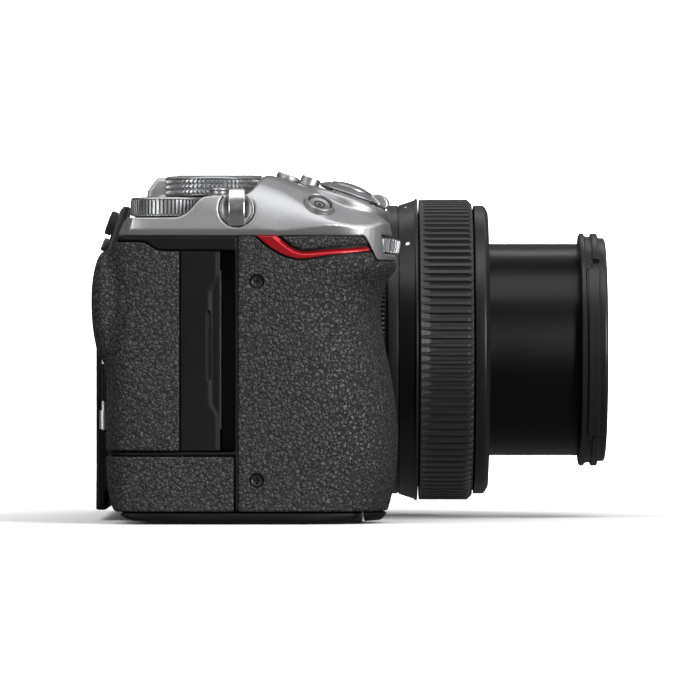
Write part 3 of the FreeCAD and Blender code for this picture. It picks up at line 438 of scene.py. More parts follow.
@material
def m_leather():
    """Pebbled leatherette: domed grains about a millimetre across, with painted shade darkening the colour into the
    creases.
    """
    m = Mat("leatherette", Roughness=0.5, Specular_IOR_Level=0.45)
    v = m.coords(MMS)
    warp = m.noise(v, 0.85, 3.0, 0.6)
    off = m.node("VectorMath", operation="SUBTRACT")
    m.link(warp.outputs["Color"], off.inputs[0])
    off.inputs[1].default_value = (0.5, 0.5, 0.5)
    sc = m.node("VectorMath", operation="SCALE")
    m.link(off.outputs[0], sc.inputs[0])
    sc.inputs["Scale"].default_value = 1.9
    add = m.node("VectorMath", operation="ADD")
    m.link(v, add.inputs[0])
    m.link(sc.outputs[0], add.inputs[1])
    p = add.outputs[0]
    d1 = m.voronoi(p, 1.12)
    e1 = m.voronoi(p, 1.12, feature="DISTANCE_TO_EDGE")
    e2 = m.voronoi(p, 2.3, feature="DISTANCE_TO_EDGE")
    fine = m.noise(v, 3.6, 3.0, 0.6)
    swell = m.noise(v, 0.40, 2.0, 0.5)
    dome1 = m.span(m.math("POWER", d1.outputs["Distance"], 2.0), 0.0, 0.60, 1.0, 0.0)
    c1 = m.span(e1.outputs["Distance"], 0.0, 0.26, 0.0, 1.0)
    c2 = m.math("POWER", m.span(e2.outputs["Distance"], 0.0, 0.20, 0.0, 1.0), 0.8)
    gate = m.span(swell.outputs[0], 0.36, 0.60, 0.35, 1.0)
    h = m.math("MULTIPLY_ADD", dome1, 1.0, m.math("MULTIPLY", c1, 0.40))
    h = m.math("MULTIPLY_ADD", m.math("MULTIPLY", c2, gate), 0.12, h)
    h = m.math("MULTIPLY_ADD", fine.outputs[0], 0.22, h)
    # painted shade: the colour darkens towards the creases between the grains, standing in for their shadow; the same
    # mask sets the roughness
    painted_crease_shade = m.math("MULTIPLY_ADD", c1, 0.62, m.math("MULTIPLY", c2, 0.38))
    c = m.ramp(painted_crease_shade, [(0.0, (0.0006, 0.0006, 0.0006)), (0.36, (0.003, 0.003, 0.0031)), (0.72, (0.016, 0.016, 0.0164)), (1.0, (0.060, 0.060, 0.0613))])
    m.colour(c)
    m.rough(m.span(painted_crease_shade, 0.15, 0.75, 0.95, 0.37))
    return m.normal(m.bump(h, 1.0, LEATHER_BUMP)).m


@material
def m_screen():
    m = Mat("screen_glass", Roughness=0.06, Specular_IOR_Level=0.6, Coat_Weight=1.0, Coat_Roughness=0.03)
    v = m.coords(MMS)
    n = m.noise(v, 0.06, 3.0, 0.5)
    m.colour(m.ramp(n.outputs[0], [(0.3, (0.004, 0.0045, 0.006)), (0.7, (0.008, 0.0085, 0.011))]))
    m.rough(m.span(n.outputs[0], 0.3, 0.7, 0.05, 0.09))
    return m.m


@material
def m_glass():
    """Coated front element, with the coating's purple and green reflection painted into the colour by facing angle."""
    m = Mat("coated_glass", Roughness=0.02, Specular_IOR_Level=0.7, Coat_Weight=1.0, Coat_Roughness=0.01)
    painted_reflection_facing = m.node("LayerWeight")
    painted_reflection_facing.inputs[0].default_value = 0.35
    n = m.noise(m.coords(MMS), 0.05, 2.0, 0.5)
    # painted reflection: the colour shifts from purple to green with the facing angle, standing in for the coating's
    # reflection
    f = m.math("MULTIPLY_ADD", n.outputs[0], 0.2, painted_reflection_facing.outputs[1])
    m.colour(m.ramp(f, [(0.1, (0.004, 0.003, 0.012)), (0.45, (0.016, 0.006, 0.03)), (0.9, (0.004, 0.02, 0.016))]))
    m.set("Coat Tint", (0.75, 0.68, 1.0))
    return m.m


@material
def m_inner_glass():
    m = Mat("inner_glass", Roughness=0.03, Specular_IOR_Level=0.7, Coat_Weight=1.0)
    n = m.noise(m.coords(MMS), 0.08, 2.0, 0.5)
    m.colour(m.ramp(n.outputs[0], [(0.3, (0.01, 0.02, 0.03)), (0.7, (0.02, 0.03, 0.05))]))
    return m.m


@material
def m_backdrop():
    m = Mat("backdrop", Roughness=0.9, Specular_IOR_Level=0.1)
    n = m.noise(m.coords((1, 1, 1)), 3.0, 2.0, 0.5)
    m.colour(m.ramp(n.outputs[0], [(0.3, (0.90, 0.90, 0.90)), (0.7, (0.915, 0.915, 0.915))]))
    return m.m


# ================================================================ distance fields


def chaikin(pts, keep=(), n=2):
    """Corner cutting of a closed outline; the corners in keep stay sharp."""
    P = [(float(a), float(b), (i in keep)) for i, (a, b) in enumerate(pts)]
    for _ in range(n):
        Q = []
        m = len(P)
        for i in range(m):
            a, b = P[i], P[(i + 1) % m]
            if a[2]:
                Q.append(a)
            else:
                Q.append((a[0] * 0.75 + b[0] * 0.25, a[1] * 0.75 + b[1] * 0.25, False))
            if not b[2]:
                Q.append((a[0] * 0.25 + b[0] * 0.75, a[1] * 0.25 + b[1] * 0.75, False))
        P = Q
    return [(a, b) for a, b, _ in P]


def poly_sdf(x, y, pts):
    x, y = np.broadcast_arrays(np.asarray(x, float), np.asarray(y, float))
    d = np.full(x.shape, 1e18)
    s = np.zeros(x.shape, bool)
    n = len(pts)
    for i in range(n):
        ax, ay = pts[i]
        bx, by = pts[(i + 1) % n]
        ex, ey = bx - ax, by - ay
        ll = ex * ex + ey * ey
        if ll < 1e-12:
            continue
        wx, wy = x - ax, y - ay
        t = np.clip((wx * ex + wy * ey) / ll, 0, 1)
        d = np.minimum(d, (wx - ex * t) ** 2 + (wy - ey * t) ** 2)
        c = (ay <= y) != (by <= y)
        if c.any():
            xi = ax + (y - ay) * (ex / (ey if ey else 1e-12))
            s ^= c & (x < xi)
    d = np.sqrt(d)
    return np.where(s, -d, d)


class Plan:
    """Signed distance to a flat outline, tabled once and read by interpolation."""

    def __init__(self, pts, step=0.12, pad=6.0):
        P = np.array(pts)
        self.lo = P.min(0) - pad
        n = np.ceil((P.max(0) + pad - self.lo) / step).astype(int) + 1
        self.step = step
        u = self.lo[0] + step * np.arange(n[0])
        v = self.lo[1] + step * np.arange(n[1])
        self.T = poly_sdf(u[:, None], v[None, :], pts)

    def __call__(self, u, v):
        fu = (np.asarray(u, float) - self.lo[0]) / self.step
        fv = (np.asarray(v, float) - self.lo[1]) / self.step
        cu = np.clip(fu, 0, self.T.shape[0] - 1.001)
        cv = np.clip(fv, 0, self.T.shape[1] - 1.001)
        iu, iv = cu.astype(int), cv.astype(int)
        a, b = cu - iu, cv - iv
        T = self.T
        r = (T[iu, iv] * (1 - a) * (1 - b) + T[iu + 1, iv] * a * (1 - b)
             + T[iu, iv + 1] * (1 - a) * b + T[iu + 1, iv + 1] * a * b)
        out = np.hypot(fu - cu, fv - cv) * self.step
        return r + out


def rmax(a, b, r):
    """Intersection with a rounded edge of radius r."""
    return np.minimum(-r, np.maximum(a, b)) + np.hypot(np.maximum(a + r, 0), np.maximum(b + r, 0))


def rmin(a, b, r):
    """Union with a fillet of radius r."""
    return np.maximum(r, np.minimum(a, b)) - np.hypot(np.maximum(r - a, 0), np.maximum(r - b, 0))


def cmax(a, b, c):
    """Intersection with a chamfered edge."""
    return np.maximum(np.maximum(a, b), (a + b + c) * 0.70710678)


def less(a, b, r=0.0):
    """a without b."""
    return rmax(a, -b, r) if r else np.maximum(a, -b)


def slab(v, lo, hi):
    return np.abs(v - (lo + hi) / 2) - (hi - lo) / 2


def bx(x, y, z, lo, hi, r=0.0):
    """Box, with rounded edges."""
    q = [np.abs(v - (a + b) / 2) - (b - a) / 2 + r for v, a, b in zip((x, y, z), lo, hi)]
    m = [np.maximum(v, 0) for v in q]
    return np.sqrt(m[0] ** 2 + m[1] ** 2 + m[2] ** 2) + np.minimum(np.maximum(np.maximum(q[0], q[1]), q[2]), 0) - r


def frame_of(p, n, xhint=(0, 0, 0)):
    """Orthonormal axes with Z along n."""
    zd = Vector(n).normalized()
    xh = Vector(xhint) if Vector(xhint).length > 0 else (Vector((1, 0, 0)) if abs(zd.x) < 0.9 else Vector((0, 0, 1)))
    xd = (xh - zd * xh.dot(zd)).normalized()
    yd = zd.cross(xd)
    return np.array(p, float), np.array(xd), np.array(yd), np.array(zd)


def local(x, y, z, F):
    p, a, b, c = F
    dx, dy, dz = x - p[0], y - p[1], z - p[2]
    return (dx * a[0] + dy * a[1] + dz * a[2], dx * b[0] + dy * b[1] + dz * b[2],
            dx * c[0] + dy * c[1] + dz * c[2])


def cyl_f(x, y, z, F, r, h0, h1, e=0.0):
    u, v, w = local(x, y, z, F)
    d = np.hypot(u, v) - r
    return rmax(d, slab(w, h0, h1), e) if e else np.maximum(d, slab(w, h0, h1))


# ============================================================= meshes from fields
PIECES = {}


def add(obj, body, material_name, nodes=(), slot=None):
    scene.collection.objects.link(obj) if obj.name not in scene.collection.objects else None
    if material_name and not obj.data.materials:
        obj.data.materials.append(mat(material_name))
    if nodes:
        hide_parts(*nodes)
    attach(obj, body)
    PIECES[obj.name] = obj
    return obj


def mesh_of(name, V, Q, smooth=True, sharp=None):
    """Mesh from arrays: V in millimetres, Q quads or triangles."""
    me = bpy.data.meshes.new(name)
    V = np.asarray(V, np.float64) * MM
    Q = np.asarray(Q, np.int32)
    me.vertices.add(len(V))
    me.vertices.foreach_set("co", V.astype(np.float32).ravel())
    k = Q.shape[1]
    me.loops.add(Q.size)
    me.loops.foreach_set("vertex_index", Q.ravel())
    me.polygons.add(len(Q))
    me.polygons.foreach_set("loop_start", np.arange(0, Q.size, k, dtype=np.int32))
    me.polygons.foreach_set("use_smooth", np.full(len(Q), smooth))
    me.update(calc_edges=True)
    me.validate()
    if sharp:
        me.set_sharp_from_angle(angle=math.radians(sharp))
    return bpy.data.objects.new(name, me)


def nets(name, f, lo, hi, h, smooth=True, iters=3, relax=1, sharp=None):
    """Surface of f = 0 as quads, with its points moved onto the field."""
    lo, hi = np.array(lo, float) - 1.5 * h, np.array(hi, float) + 1.5 * h
    n = np.ceil((hi - lo) / h).astype(int) + 1
    ax = [lo[i] + h * np.arange(n[i]) for i in range(3)]
    # the grid is walked in slabs along Y so that the memory stays small
    F = np.empty(n, np.float32)
    step = max(1, int(4e6 / (n[0] * n[2])))
    for j in range(0, n[1], step):
        ys = ax[1][j:j + step]
        F[:, j:j + step, :] = np.broadcast_to(f(ax[0][:, None, None], ys[None, :, None], ax[2][None, None, :]),
                                              (n[0], len(ys), n[2]))
    F[[0, -1]] = np.maximum(F[[0, -1]], 1e-3)
    F[:, [0, -1]] = np.maximum(F[:, [0, -1]], 1e-3)
    F[:, :, [0, -1]] = np.maximum(F[:, :, [0, -1]], 1e-3)
    S = F < 0
    cn = n - 1
    ids, pos, quads = [], [], []
    for a in range(3):
        b, c = (a + 1) % 3, (a + 2) % 3
        s0 = [slice(None)] * 3
        s1 = [slice(None)] * 3
        s0[a], s1[a] = slice(0, -1), slice(1, None)
        s0, s1 = tuple(s0), tuple(s1)
        idx = np.array(np.nonzero(S[s0] != S[s1])).T
        if not len(idx):
            continue
        i1 = idx.copy()
        i1[:, a] += 1
        f0 = F[tuple(idx.T)].astype(float)
        f1 = F[tuple(i1.T)].astype(float)
        t = f0 / (f0 - f1)
        p = idx.astype(float)
        p[:, a] += t
        p = lo + p * h
        cells = []
        for db, dc in ((-1, -1), (0, -1), (0, 0), (-1, 0)):
            cc = idx.copy()
            cc[:, b] += db
            cc[:, c] += dc
            k = (cc[:, 0] * cn[1] + cc[:, 1]) * cn[2] + cc[:, 2]
            cells.append(k)
            ids.append(k)
            pos.append(p)
        q = np.stack(cells, 1)
        flip = f0 > 0
        q[flip] = q[flip][:, ::-1]
        quads.append(q)
    ids = np.concatenate(ids)
    pos = np.concatenate(pos)
    quads = np.concatenate(quads)
    uid, inv = np.unique(ids, return_inverse=True)
    cnt = np.bincount(inv)
    V = np.stack([np.bincount(inv, weights=pos[:, i]) / cnt for i in range(3)], 1)
    Q = np.searchsorted(uid, quads)

    def project(V, times):
        e = 0.02
        for _ in range(times):
            x, y, z = V.T
            v = f(x, y, z)
            g = np.stack([f(x + e, y, z) - v, f(x, y + e, z) - v, f(x, y, z + e) - v], 1) / e
            gg = (g ** 2).sum(1)
            st = -(v / np.maximum(gg, 0.25))[:, None] * g
            ln = np.sqrt((st ** 2).sum(1))
            st *= np.minimum(1.0, 0.6 * h / np.maximum(ln, 1e-9))[:, None]
            V = V + st
        return V

    V = project(V, iters)
    for _ in range(relax):
        # even out the points along the surface, then back onto it
        A = np.zeros_like(V)
        C = np.zeros(len(V))
        for i, j in ((0, 1), (1, 2), (2, 3), (3, 0)):
            a, b = Q[:, i], Q[:, j]
            for k in range(3):
                A[:, k] += np.bincount(a, weights=V[b, k], minlength=len(V))
                A[:, k] += np.bincount(b, weights=V[a, k], minlength=len(V))
            C += np.bincount(a, minlength=len(V)) + np.bincount(b, minlength=len(V))
        M = A / C[:, None]
        V = project(V + 0.35 * (M - V), 2)
    o = mesh_of(name, V, Q, smooth, sharp)
    return o


def turned(name, prof, F, n=128, sharp=30.0, ang=(0.0, 360.0)):
    """Turned piece. prof is a closed outline of (radius, height) in the frame F."""
    p, a, b, c = F
    prof = np.array(prof, float)
    m = len(prof)
    full = abs(ang[1] - ang[0]) >= 360
    th = np.radians(np.linspace(ang[0], ang[1], n, endpoint=not full))
    ct, st = np.cos(th), np.sin(th)
    V = (p[None, None] + prof[None, :, 0, None] * (ct[:, None, None] * a + st[:, None, None] * b)
         + prof[None, :, 1, None] * c)
    V = V.reshape(-1, 3)
    Q = []
    for i in range(n if full else n - 1):
        j = (i + 1) % n
        k = np.arange(m)
        k1 = (k + 1) % m
        Q.append(np.stack([i * m + k, j * m + k, j * m + k1, i * m + k1], 1))
    Q = np.concatenate(Q)
    # quads that lie on the axis close up
    o = mesh_of(name, V, Q, True)
    import bmesh
    bm = bmesh.new()
    bm.from_mesh(o.data)
    bmesh.ops.remove_doubles(bm, verts=bm.verts, dist=2e-7)
    if not full:
        holes = [e for e in bm.edges if e.is_boundary]
        bmesh.ops.holes_fill(bm, edges=holes)
    bmesh.ops.recalc_face_normals(bm, faces=bm.faces)
    bm.to_mesh(o.data)
    bm.free()
    if sharp:
        o.data.set_sharp_from_angle(angle=math.radians(sharp))
    return o


def soft(prof, r=0.15, n=3, keep=()):
    """Outline with small arcs at its corners."""
    out = []
    m = len(prof)
    for i in range(m):
        p = np.array(prof[i], float)
        a = np.array(prof[i - 1], float)
        b = np.array(prof[(i + 1) % m], float)
        la, lb = np.linalg.norm(a - p), np.linalg.norm(b - p)
        if i in keep or la < 1e-6 or lb < 1e-6 or abs(p[0]) < 1e-6:
            out.append(tuple(p))
            continue
        k = min(r, la * 0.45, lb * 0.45)
        u = p + (a - p) / la * k
        v = p + (b - p) / lb * k
        for j in range(n + 1):
            t = j / n
            q = u * (1 - t) ** 2 + 2 * p * t * (1 - t) + v * t * t
            out.append(tuple(q))
    return out


def knob(name, F, n_theta, heights, radius_fn, cap, foot, sharp=None):
    """Dial: a wall whose radius is a function of angle and height, with a turned
    top (cap, from the wall inwards) and underside (foot, from the axis outwards)."""
    p, a, b, c = F
    th = np.arange(n_theta) * 2 * PI / n_theta
    H = np.array(heights)
    R = radius_fn(th[:, None], H[None, :])
    rows = [(np.full(n_theta, r), np.full(n_theta, h)) for r, h in foot]
    rows += [(R[:, k], np.full(n_theta, H[k])) for k in range(len(H))]
    rows += [(np.full(n_theta, r), np.full(n_theta, h)) for r, h in cap]
    Rr = np.array([r for r, _ in rows])
    Hh = np.array([h for _, h in rows])
    V = (p[None, None] + Rr[..., None] * (np.cos(th)[None, :, None] * a + np.sin(th)[None, :, None] * b)
         + Hh[..., None] * c)
    m = len(rows)
    V = V.reshape(-1, 3)
    i = np.arange(m - 1)[:, None]
    j = np.arange(n_theta)[None, :]
    j1 = (j + 1) % n_theta
    Q = np.stack(np.broadcast_arrays(i * n_theta + j, i * n_theta + j1, (i + 1) * n_theta + j1,
                                     (i + 1) * n_theta + j), -1).reshape(-1, 4)
    o = mesh_of(name, V, Q, True)
    import bmesh
    bm = bmesh.new()
    bm.from_mesh(o.data)
    bmesh.ops.remove_doubles(bm, verts=bm.verts, dist=2e-7)
    bmesh.ops.recalc_face_normals(bm, faces=bm.faces)
    bm.to_mesh(o.data)
    bm.free()
    o.data.set_sharp_from_angle(angle=math.radians(sharp or 40))
    return o


def place_z(x, y, z=0.0):
    return frame_of((x, y, z), (0, 0, 1), (1, 0, 0))


LENS = frame_of((0, 0, LZ), (1, 0, 0), (0, 0, 1))       # turned outlines use (radius, x)


# ===================================================================== body forms
SIDE = [(-22.0, 0.0), (30.2, 0.0), (31.8, 0.7), (32.8, 3.3), (33.5, 5.9), (34.4, 10.8),
        (34.8, 17.8), (34.5, 23.0), (33.9, 27.6), (32.9, 33.4), (31.9, 36.8), (31.8, 41.1),
        (31.8, 46.9), (32.1, 51.5), (32.8, 52.4), (33.9, 53.8), (34.5, 54.7), (34.3, 56.5),
        (34.3, 70.0), (-20.8, 70.0), (-28.8, 56.0), (-28.8, 14.3), (-28.3, 8.0),
        (-27.0, 2.6), (-24.4, 1.2)]
PLAN = [(-28.8, -63.0), (-28.2, -66.5), (-26.2, -69.4), (-23.0, -71.2), (-17.0, -71.9),
        (0.0, -72.0), (14.0, -71.9), (22.0, -71.0), (28.0, -68.6), (32.0, -64.9),
        (34.2, -60.5), (34.9, -55.5), (34.2, -51.0), (31.6, -47.2), (27.0, -44.4),
        (21.0, -41.6), (18.2, -39.6), (17.0, -36.5), (17.0, 46.0), (15.6, 50.8),
        (12.0, 53.2), (8.0, 54.0), (-21.0, 54.0), (-25.4, 52.8), (-28.0, 50.0),
        (-28.8, 46.0)]
side_f = Plan(chaikin(SIDE, keep=(18, 19, 20), n=2))
plan_f = Plan(chaikin(PLAN, n=2))
_front = np.array(chaikin(SIDE, n=2)[6:80])
_fz = np.array([0.0, 0.7, 3.3, 5.9, 10.8, 17.8, 23.0, 27.6, 33.4, 36.8, 38.5, 41.1, 43.5, 46.3, 49.4, 51.5, 52.4, 53.8, 54.7, 56.5, 70.0])
_fx = np.array([30.6, 31.8, 32.8, 33.5, 34.4, 34.8, 34.5, 33.9, 32.9, 32.2, 31.75, 31.15, 30.75, 30.65, 31.2, 32.1, 32.8, 33.9, 34.45, 34.3, 34.3])
_zz = np.linspace(-4, 72, 761)
_sh = np.interp(_zz, _fz, _fx)
_kern = np.exp(-0.5 * (np.arange(-12, 13) / 5.0) ** 2)
_sh = np.convolve(np.pad(_sh, 12, mode="edge"), _kern / _kern.sum(), mode="valid") - 34.8


def step(t):
    t = np.clip(t, 0, 1)
    return t * t * (3 - 2 * t)


def body(x, y, z, r=1.1):
    """Outer form of the body below the cover: the grip front follows the finger grooves."""
    s = np.interp(z, _zz, _sh)
    xs = x - s * step((x - 3.0) / 19.0)
    return rmax(plan_f(xs, y), side_f(x, z), r)


# Top cover ---------------------------------------------------------------
CB = 61.4
A_NEAR = [(-25.7, 56.0), (26.8, 56.0), (26.8, CB), (27.6, 60.6), (29.8, 56.2), (34.35, 56.2), (33.9, 57.8),
          (32.9, 62.0), (32.1, 65.5), (8.3, 74.3), (6.4, 74.75), (5.1, 74.1), (3.3, 71.4),
          (1.6, 70.1), (-0.4, 70.0), (-6.2, 70.0), (-7.8, 69.6), (-9.2, 68.0), (-10.8, 66.2), (-12.6, 65.35), (-14.4, 65.3),
          (-23.6, 65.3), (-24.6, 64.2), (-25.7, CB)]
A_FAR = [(-25.7, 56.0), (26.8, 56.0), (26.8, CB), (27.6, 60.6), (29.8, 56.2), (34.35, 56.2), (33.9, 57.8),
         (32.9, 62.0), (32.1, 65.5), (8.3, 74.3), (6.4, 74.75), (5.5, 74.0), (5.3, 70.0),
         (-17.2, 70.0), (-19.0, 69.0), (-20.6, 66.6), (-23.6, 65.3), (-24.6, 64.2), (-25.7, CB)]
B_OUT = [(-25.7, 56.0), (17.0, 56.0), (17.0, 71.0), (12.5, 75.0), (-18.6, 75.0), (-20.7, 72.1),
         (-21.2, 66.5), (-23.6, 65.3), (-24.6, 64.2), (-25.7, CB)]
an_f = Plan(chaikin(A_NEAR, keep=(0, 1, 2, 4, 5, 9, 21), n=2), step=0.1)
af_f = Plan(chaikin(A_FAR, keep=(0, 1, 2, 4, 5, 9, 13), n=2), step=0.1)
b_f = Plan(chaikin(B_OUT, keep=(0, 1, 2, 3, 4, 5), n=1), step=0.1)
FOOT = (23.38, -55.0, 68.74)
REL = frame_of(FOOT, NR, (math.cos(T19), 0, -math.sin(T19)))
FN_N = (0.2725, -0.547, 0.7915)
FN = frame_of((17.4, -67.1, 67.95), FN_N, (math.cos(T19), 0, -math.sin(T19)))
FLAT = frame_of((10.25, -45.0, 73.67), NR, (math.cos(T19), 0, -math.sin(T19)))
REC = frame_of((14.75, -45.0, 71.98), NR, (math.cos(T19), 0, -math.sin(T19)))
MODE = place_z(-5.9, -40.0, 70.5)
RDIAL = place_z(-15.2, -58.0, 65.45)
LOCK = place_z(-4.2, -56.0, 70.0)
F8 = math.radians(8.0)
FD_N = (math.sin(F8), 0, math.cos(F8))
FDIAL = frame_of((26.7, -53.0, 58.75), FD_N, (math.cos(F8), 0, -math.sin(F8)))
LUG = (-0.2, 67.1)
PANEL_N = (-0.936, 0.0, 0.352)
STICK = frame_of((-26.74, -40.0, 64.2), PANEL_N, (0, 1, 0))
RBUT = frame_of((-28.47, -46.0, 59.6), PANEL_N, (0, 1, 0))


def crease(x):
    return np.interp(x, [-40, 8.4, 15.5, 22.5, 26.1, 29.8, 32.1, 40], [62.8, 62.8, 63.4, 64.1, 64.45, 65.2, 65.6, 66.4])


def cover(x, y, z):
    zc = crease(x)
    p = plan_f(x, y)
    near = step((-y - 20.0) / 20.0)
    upper = p + 0.10 * (z - zc) * near
    band = (p + 0.46 * (zc - z) * (1 - 0.80 * step((x - 19.0) / 8.0)) * near) / 1.06
    sharp = step((x - 2.0) / 8.0)
    f1 = rmax(an_f(x, z), y + 49.5, 0.8)
    f2 = rmax(af_f(x, z), slab(y, -55.0, -27.0), 0.5)
    f3 = rmax(b_f(x, z), -28.0 - y + 0.22 * (z - 70.0), 0.9)
    f = rmin(f1, f2, 0.6)
    f = rmin(f, f3, 1.5)
    # side slope of the finger rest
    w = local(x, y, z, FN)[2]
    slope = rmax(upper, w, 5.0 - 4.3 * step((x - 8.0) / 13.0))
    f = rmax(f, slope, 0.32 + 0.9 * sharp)
    f = rmax(f, np.where(y < -20, band, -9.0), 0.14)
    # narrow rear bevel
    f = rmax(f, -0.828 * (x + 22.3) - 0.518 * (y + 71.2) + 0.218 * (z - 65.1), 0.1)
    # release mound
    u, v, h = local(x, y, z, REL)
    rho = np.hypot(u, v)
    md = rmax(rho - 9.4, h - 1.25, 1.15)
    md = np.maximum(md, -h - 4.0)
    md = np.maximum(md, plan_f(x, y) + 0.1)
    f = rmin(f, md, 0.35)
    # ledge under the collar and its ridged slot
    f = less(f, np.maximum(np.abs(rho - 7.6) - 0.28, np.abs(h - 1.25) - 0.22), 0.1)
    f = rmin(f, np.maximum(rho - 4.2, slab(h, -2.0, 1.9)), 0.15)
    f = less(f, np.maximum(np.maximum(rho - 2.2, -h), h - 9), 0)
    # wells and seats
    f = less(f, cyl_f(x, y, z, RDIAL, 8.75, -0.15, 9.0), 0.2)
    u, v, h = local(x, y, z, FN)
    f = less(f, np.maximum(np.hypot(u, v) - 3.25, slab(h, -1.3, 6)), 0.15)
    f = less(f, cyl_f(x, y, z, REC, 2.40, -0.1, 5), 0.15)
    f = less(f, cyl_f(x, y, z, FN, 2.78, -1.9, 5), 0.1)
    f = less(f, cyl_f(x, y, z, FLAT, 2.62, -0.12, 5), 0.15)
    f = less(f, np.maximum(cyl_f(x, y, z, FDIAL, 8.4, -0.4, 3.55), -z + 50), 0.2)
    q = local(x, y, z, FDIAL)[2]
    f = less(f, np.maximum(np.maximum(31.0 - x - 0.13 * (z - 60.0), y + 50.0), slab(q, -0.42, 3.6)), 0.12)
    for s, y0 in ((-1, -69.95), (1, 51.95)):
        d = np.hypot(x - LUG[0], z - LUG[1]) - 3.92
        cut = np.maximum(d, s * (y0 - y))
        f = less(f, cut, 0.25)
        notch = np.maximum(np.maximum(np.abs(x - LUG[0]) - 1.95, LUG[1] - z), s * (y0 - y) + 0.0)
        f = less(f, notch, 0.15)
    # accessory shoe recess
    f = less(f, bx(x, y, z, (-26, -10.9, 71.4), (5.6, 10.9, 80), 0.6), 0.3)
    # rear panel seat, lens mount and the underside
    f = less(f, np.maximum(np.maximum(panel_f(x, z) - 0.12, slab(y, -50.1, -30.9)), 0), 0.1)
    f = less(f, np.maximum(np.hypot(y, z - LZ) - 29.2, 13.0 - x), 0.2)
    # the underside: the cover ends at its lower edge, and lower down at the front prong
    under = CB - z
    nose = np.maximum(an_f(x, z), 26.0 - x)
    return rmax(f, np.where(x > 26.85, np.minimum(under, np.where(y < -36, 56.2 - z, under)), under), 0.12)


PANEL = [(-29.3, 57.2), (-25.4, 57.2), (-25.4, 61.9), (-23.9, 68.1), (-25.2, 68.3)]
panel_f = Plan(PANEL, step=0.06, pad=4.0)

HS = 1.0        # coarser while pieces are being worked on


def piece(name, f, lo, hi, h, body_name, material_name, nodes=(), slot=None, **kw):
    o = nets(name, f, lo, hi, h * HS, **kw)
    return add(o, body_name, material_name, nodes, slot)


# ================================================================ silver top cover
piece("cover_shell", cover, (-26, -72.3, 56.0), (34.6, 54.2, 75.1), 0.31, "camera", "silver",
      ("top_cover",), "silver_paint", relax=1)

# ================================================================== grip leather
ACC = [(4.05, 62.4), (4.05, 61.4), (5.2, 60.3), (7.3, 58.7), (9.5, 57.4), (11.6, 56.7), (13.5, 56.4),
       (15.9, 56.7), (19.7, 57.3), (21.8, 57.5), (28.4, 58.2), (28.0, 59.2), (21.8, 58.7),
       (19.7, 58.6), (15.9, 58.2), (13.8, 58.1), (12.3, 58.5), (10.9, 59.4), (9.5, 60.5),
       (8.4, 61.4), (8.4, 62.4)]
acc_f = Plan(chaikin(ACC, keep=(0, 1, 10, 11, 19, 20), n=2), step=0.06, pad=4.0)
cover_low = Plan([(26.8, 70.0), (26.8, CB), (27.6, 60.6), (29.8, 56.2), (40.0, 56.2), (40.0, 70.0)], step=0.08)


def grip_skin(x, y, z):
    b = body(x, y, z)
    f = np.maximum(b, -(b + 0.8))
    edge = np.maximum(np.maximum(0.12 - x, 2.42 - z), z - (CB - 0.12))
    # the far side of the grip meets the body at a seam
    edge = np.maximum(edge, y + 41.7)
    f = rmax(f, edge, 0.34)
    f = rmax(f, -(cover_low(x, z) - 0.16), 0.2)
    f = rmax(f, -(np.maximum(acc_f(x, z), y + 50) - 0.40), 0.22)
    for zz in (51.6, 9.1):
        f = rmax(f, -(np.maximum(np.hypot(x - 4.1, z - zz) - 1.5, y + 60)), 0.25)
    f = np.maximum(f, -np.maximum(cyl_f(x, y, z, FDIAL, 8.4, -0.4, 3.5), 50 - z))
    return f


piece("grip_leather", grip_skin, (0, -72.1, 2.3), (35, -41.5, 61.5), 0.36, "camera", "leather",
      ("grip_skin",), "leatherette")


up_f = Plan([(8.4, 75.0), (8.4, 61.4), (9.5, 60.5), (10.9, 59.4), (12.3, 58.55), (13.8, 58.15), (15.9, 58.2), (19.7, 58.6),
             (21.8, 58.75), (28.0, 59.2), (45.0, 60.4), (45.0, 75.0)], step=0.06, pad=4.0)


def accent(x, y, z):
    b = body(x, y, z)
    a = np.maximum(acc_f(x, z), y + 52)
    f = rmax(b + 0.04, a + 0.06, 0.08)
    # bright face along the upper edge
    f = rmax(f, (b + 0.04 + 0.95 * (0.85 - up_f(x, z))) / 1.38, 0.05)
    return np.maximum(np.maximum(f, -(b + 1.2)), z - (CB - 0.05))


piece("accent_strip", accent, (3.9, -72.1, 56.3), (28.5, -66.5, 61.5), 0.17, "camera", "red", ("red_accent",),
      "red_anodised")


# ============================================================= front shell and base
def front_shell(x, y, z):
    b = body(x, y, z)
    # the shell lies under the skins and shows where there is none
    under = b + np.where(y < -41.7, 0.82, 0.0)
    far = bx(x, y, z, (2.0, 33.0, 4.0), (20, 60, 58.0), 1.2)
    under = np.maximum(under, np.where(far < 0, b + 0.8, -9.0))
    f = np.maximum(np.maximum(under, -(b + 2.6)), np.maximum(-x + 0.02, slab(z, 2.34, CB - 0.04)))
    strip = np.maximum(np.maximum(b + 0.25, -(b + 2.6)), np.maximum(slab(x, -0.55, 0.14), slab(z, 2.4, 61.2)))
    f = np.minimum(f, np.maximum(strip, y + 60))
    f = less(f, np.maximum(np.hypot(y, z - LZ) - 29.15, 13 - x), 0.3)
    f = less(f, np.maximum(np.hypot(y - 35.5, z - 27.0) - 3.4, 13 - x), 0.25)
    f = np.maximum(f, -np.maximum(cyl_f(x, y, z, FDIAL, 8.4, -0.4, 3.5), 50 - z))
    f = np.maximum(f, -(cover_low(x, z) - 0.1))
    for zz in (51.6, 9.1):
        f = np.maximum(f, -np.maximum(np.hypot(x - 4.1, z - zz) - 1.5, slab(y, -80, -69.6)))
    return f


piece("shell_front", front_shell, (-0.6, -72.1, 2.3), (34.2, 54.1, 61.45), 0.5, "camera", "black_plastic",
      ("front_shell",), "black_plastic")


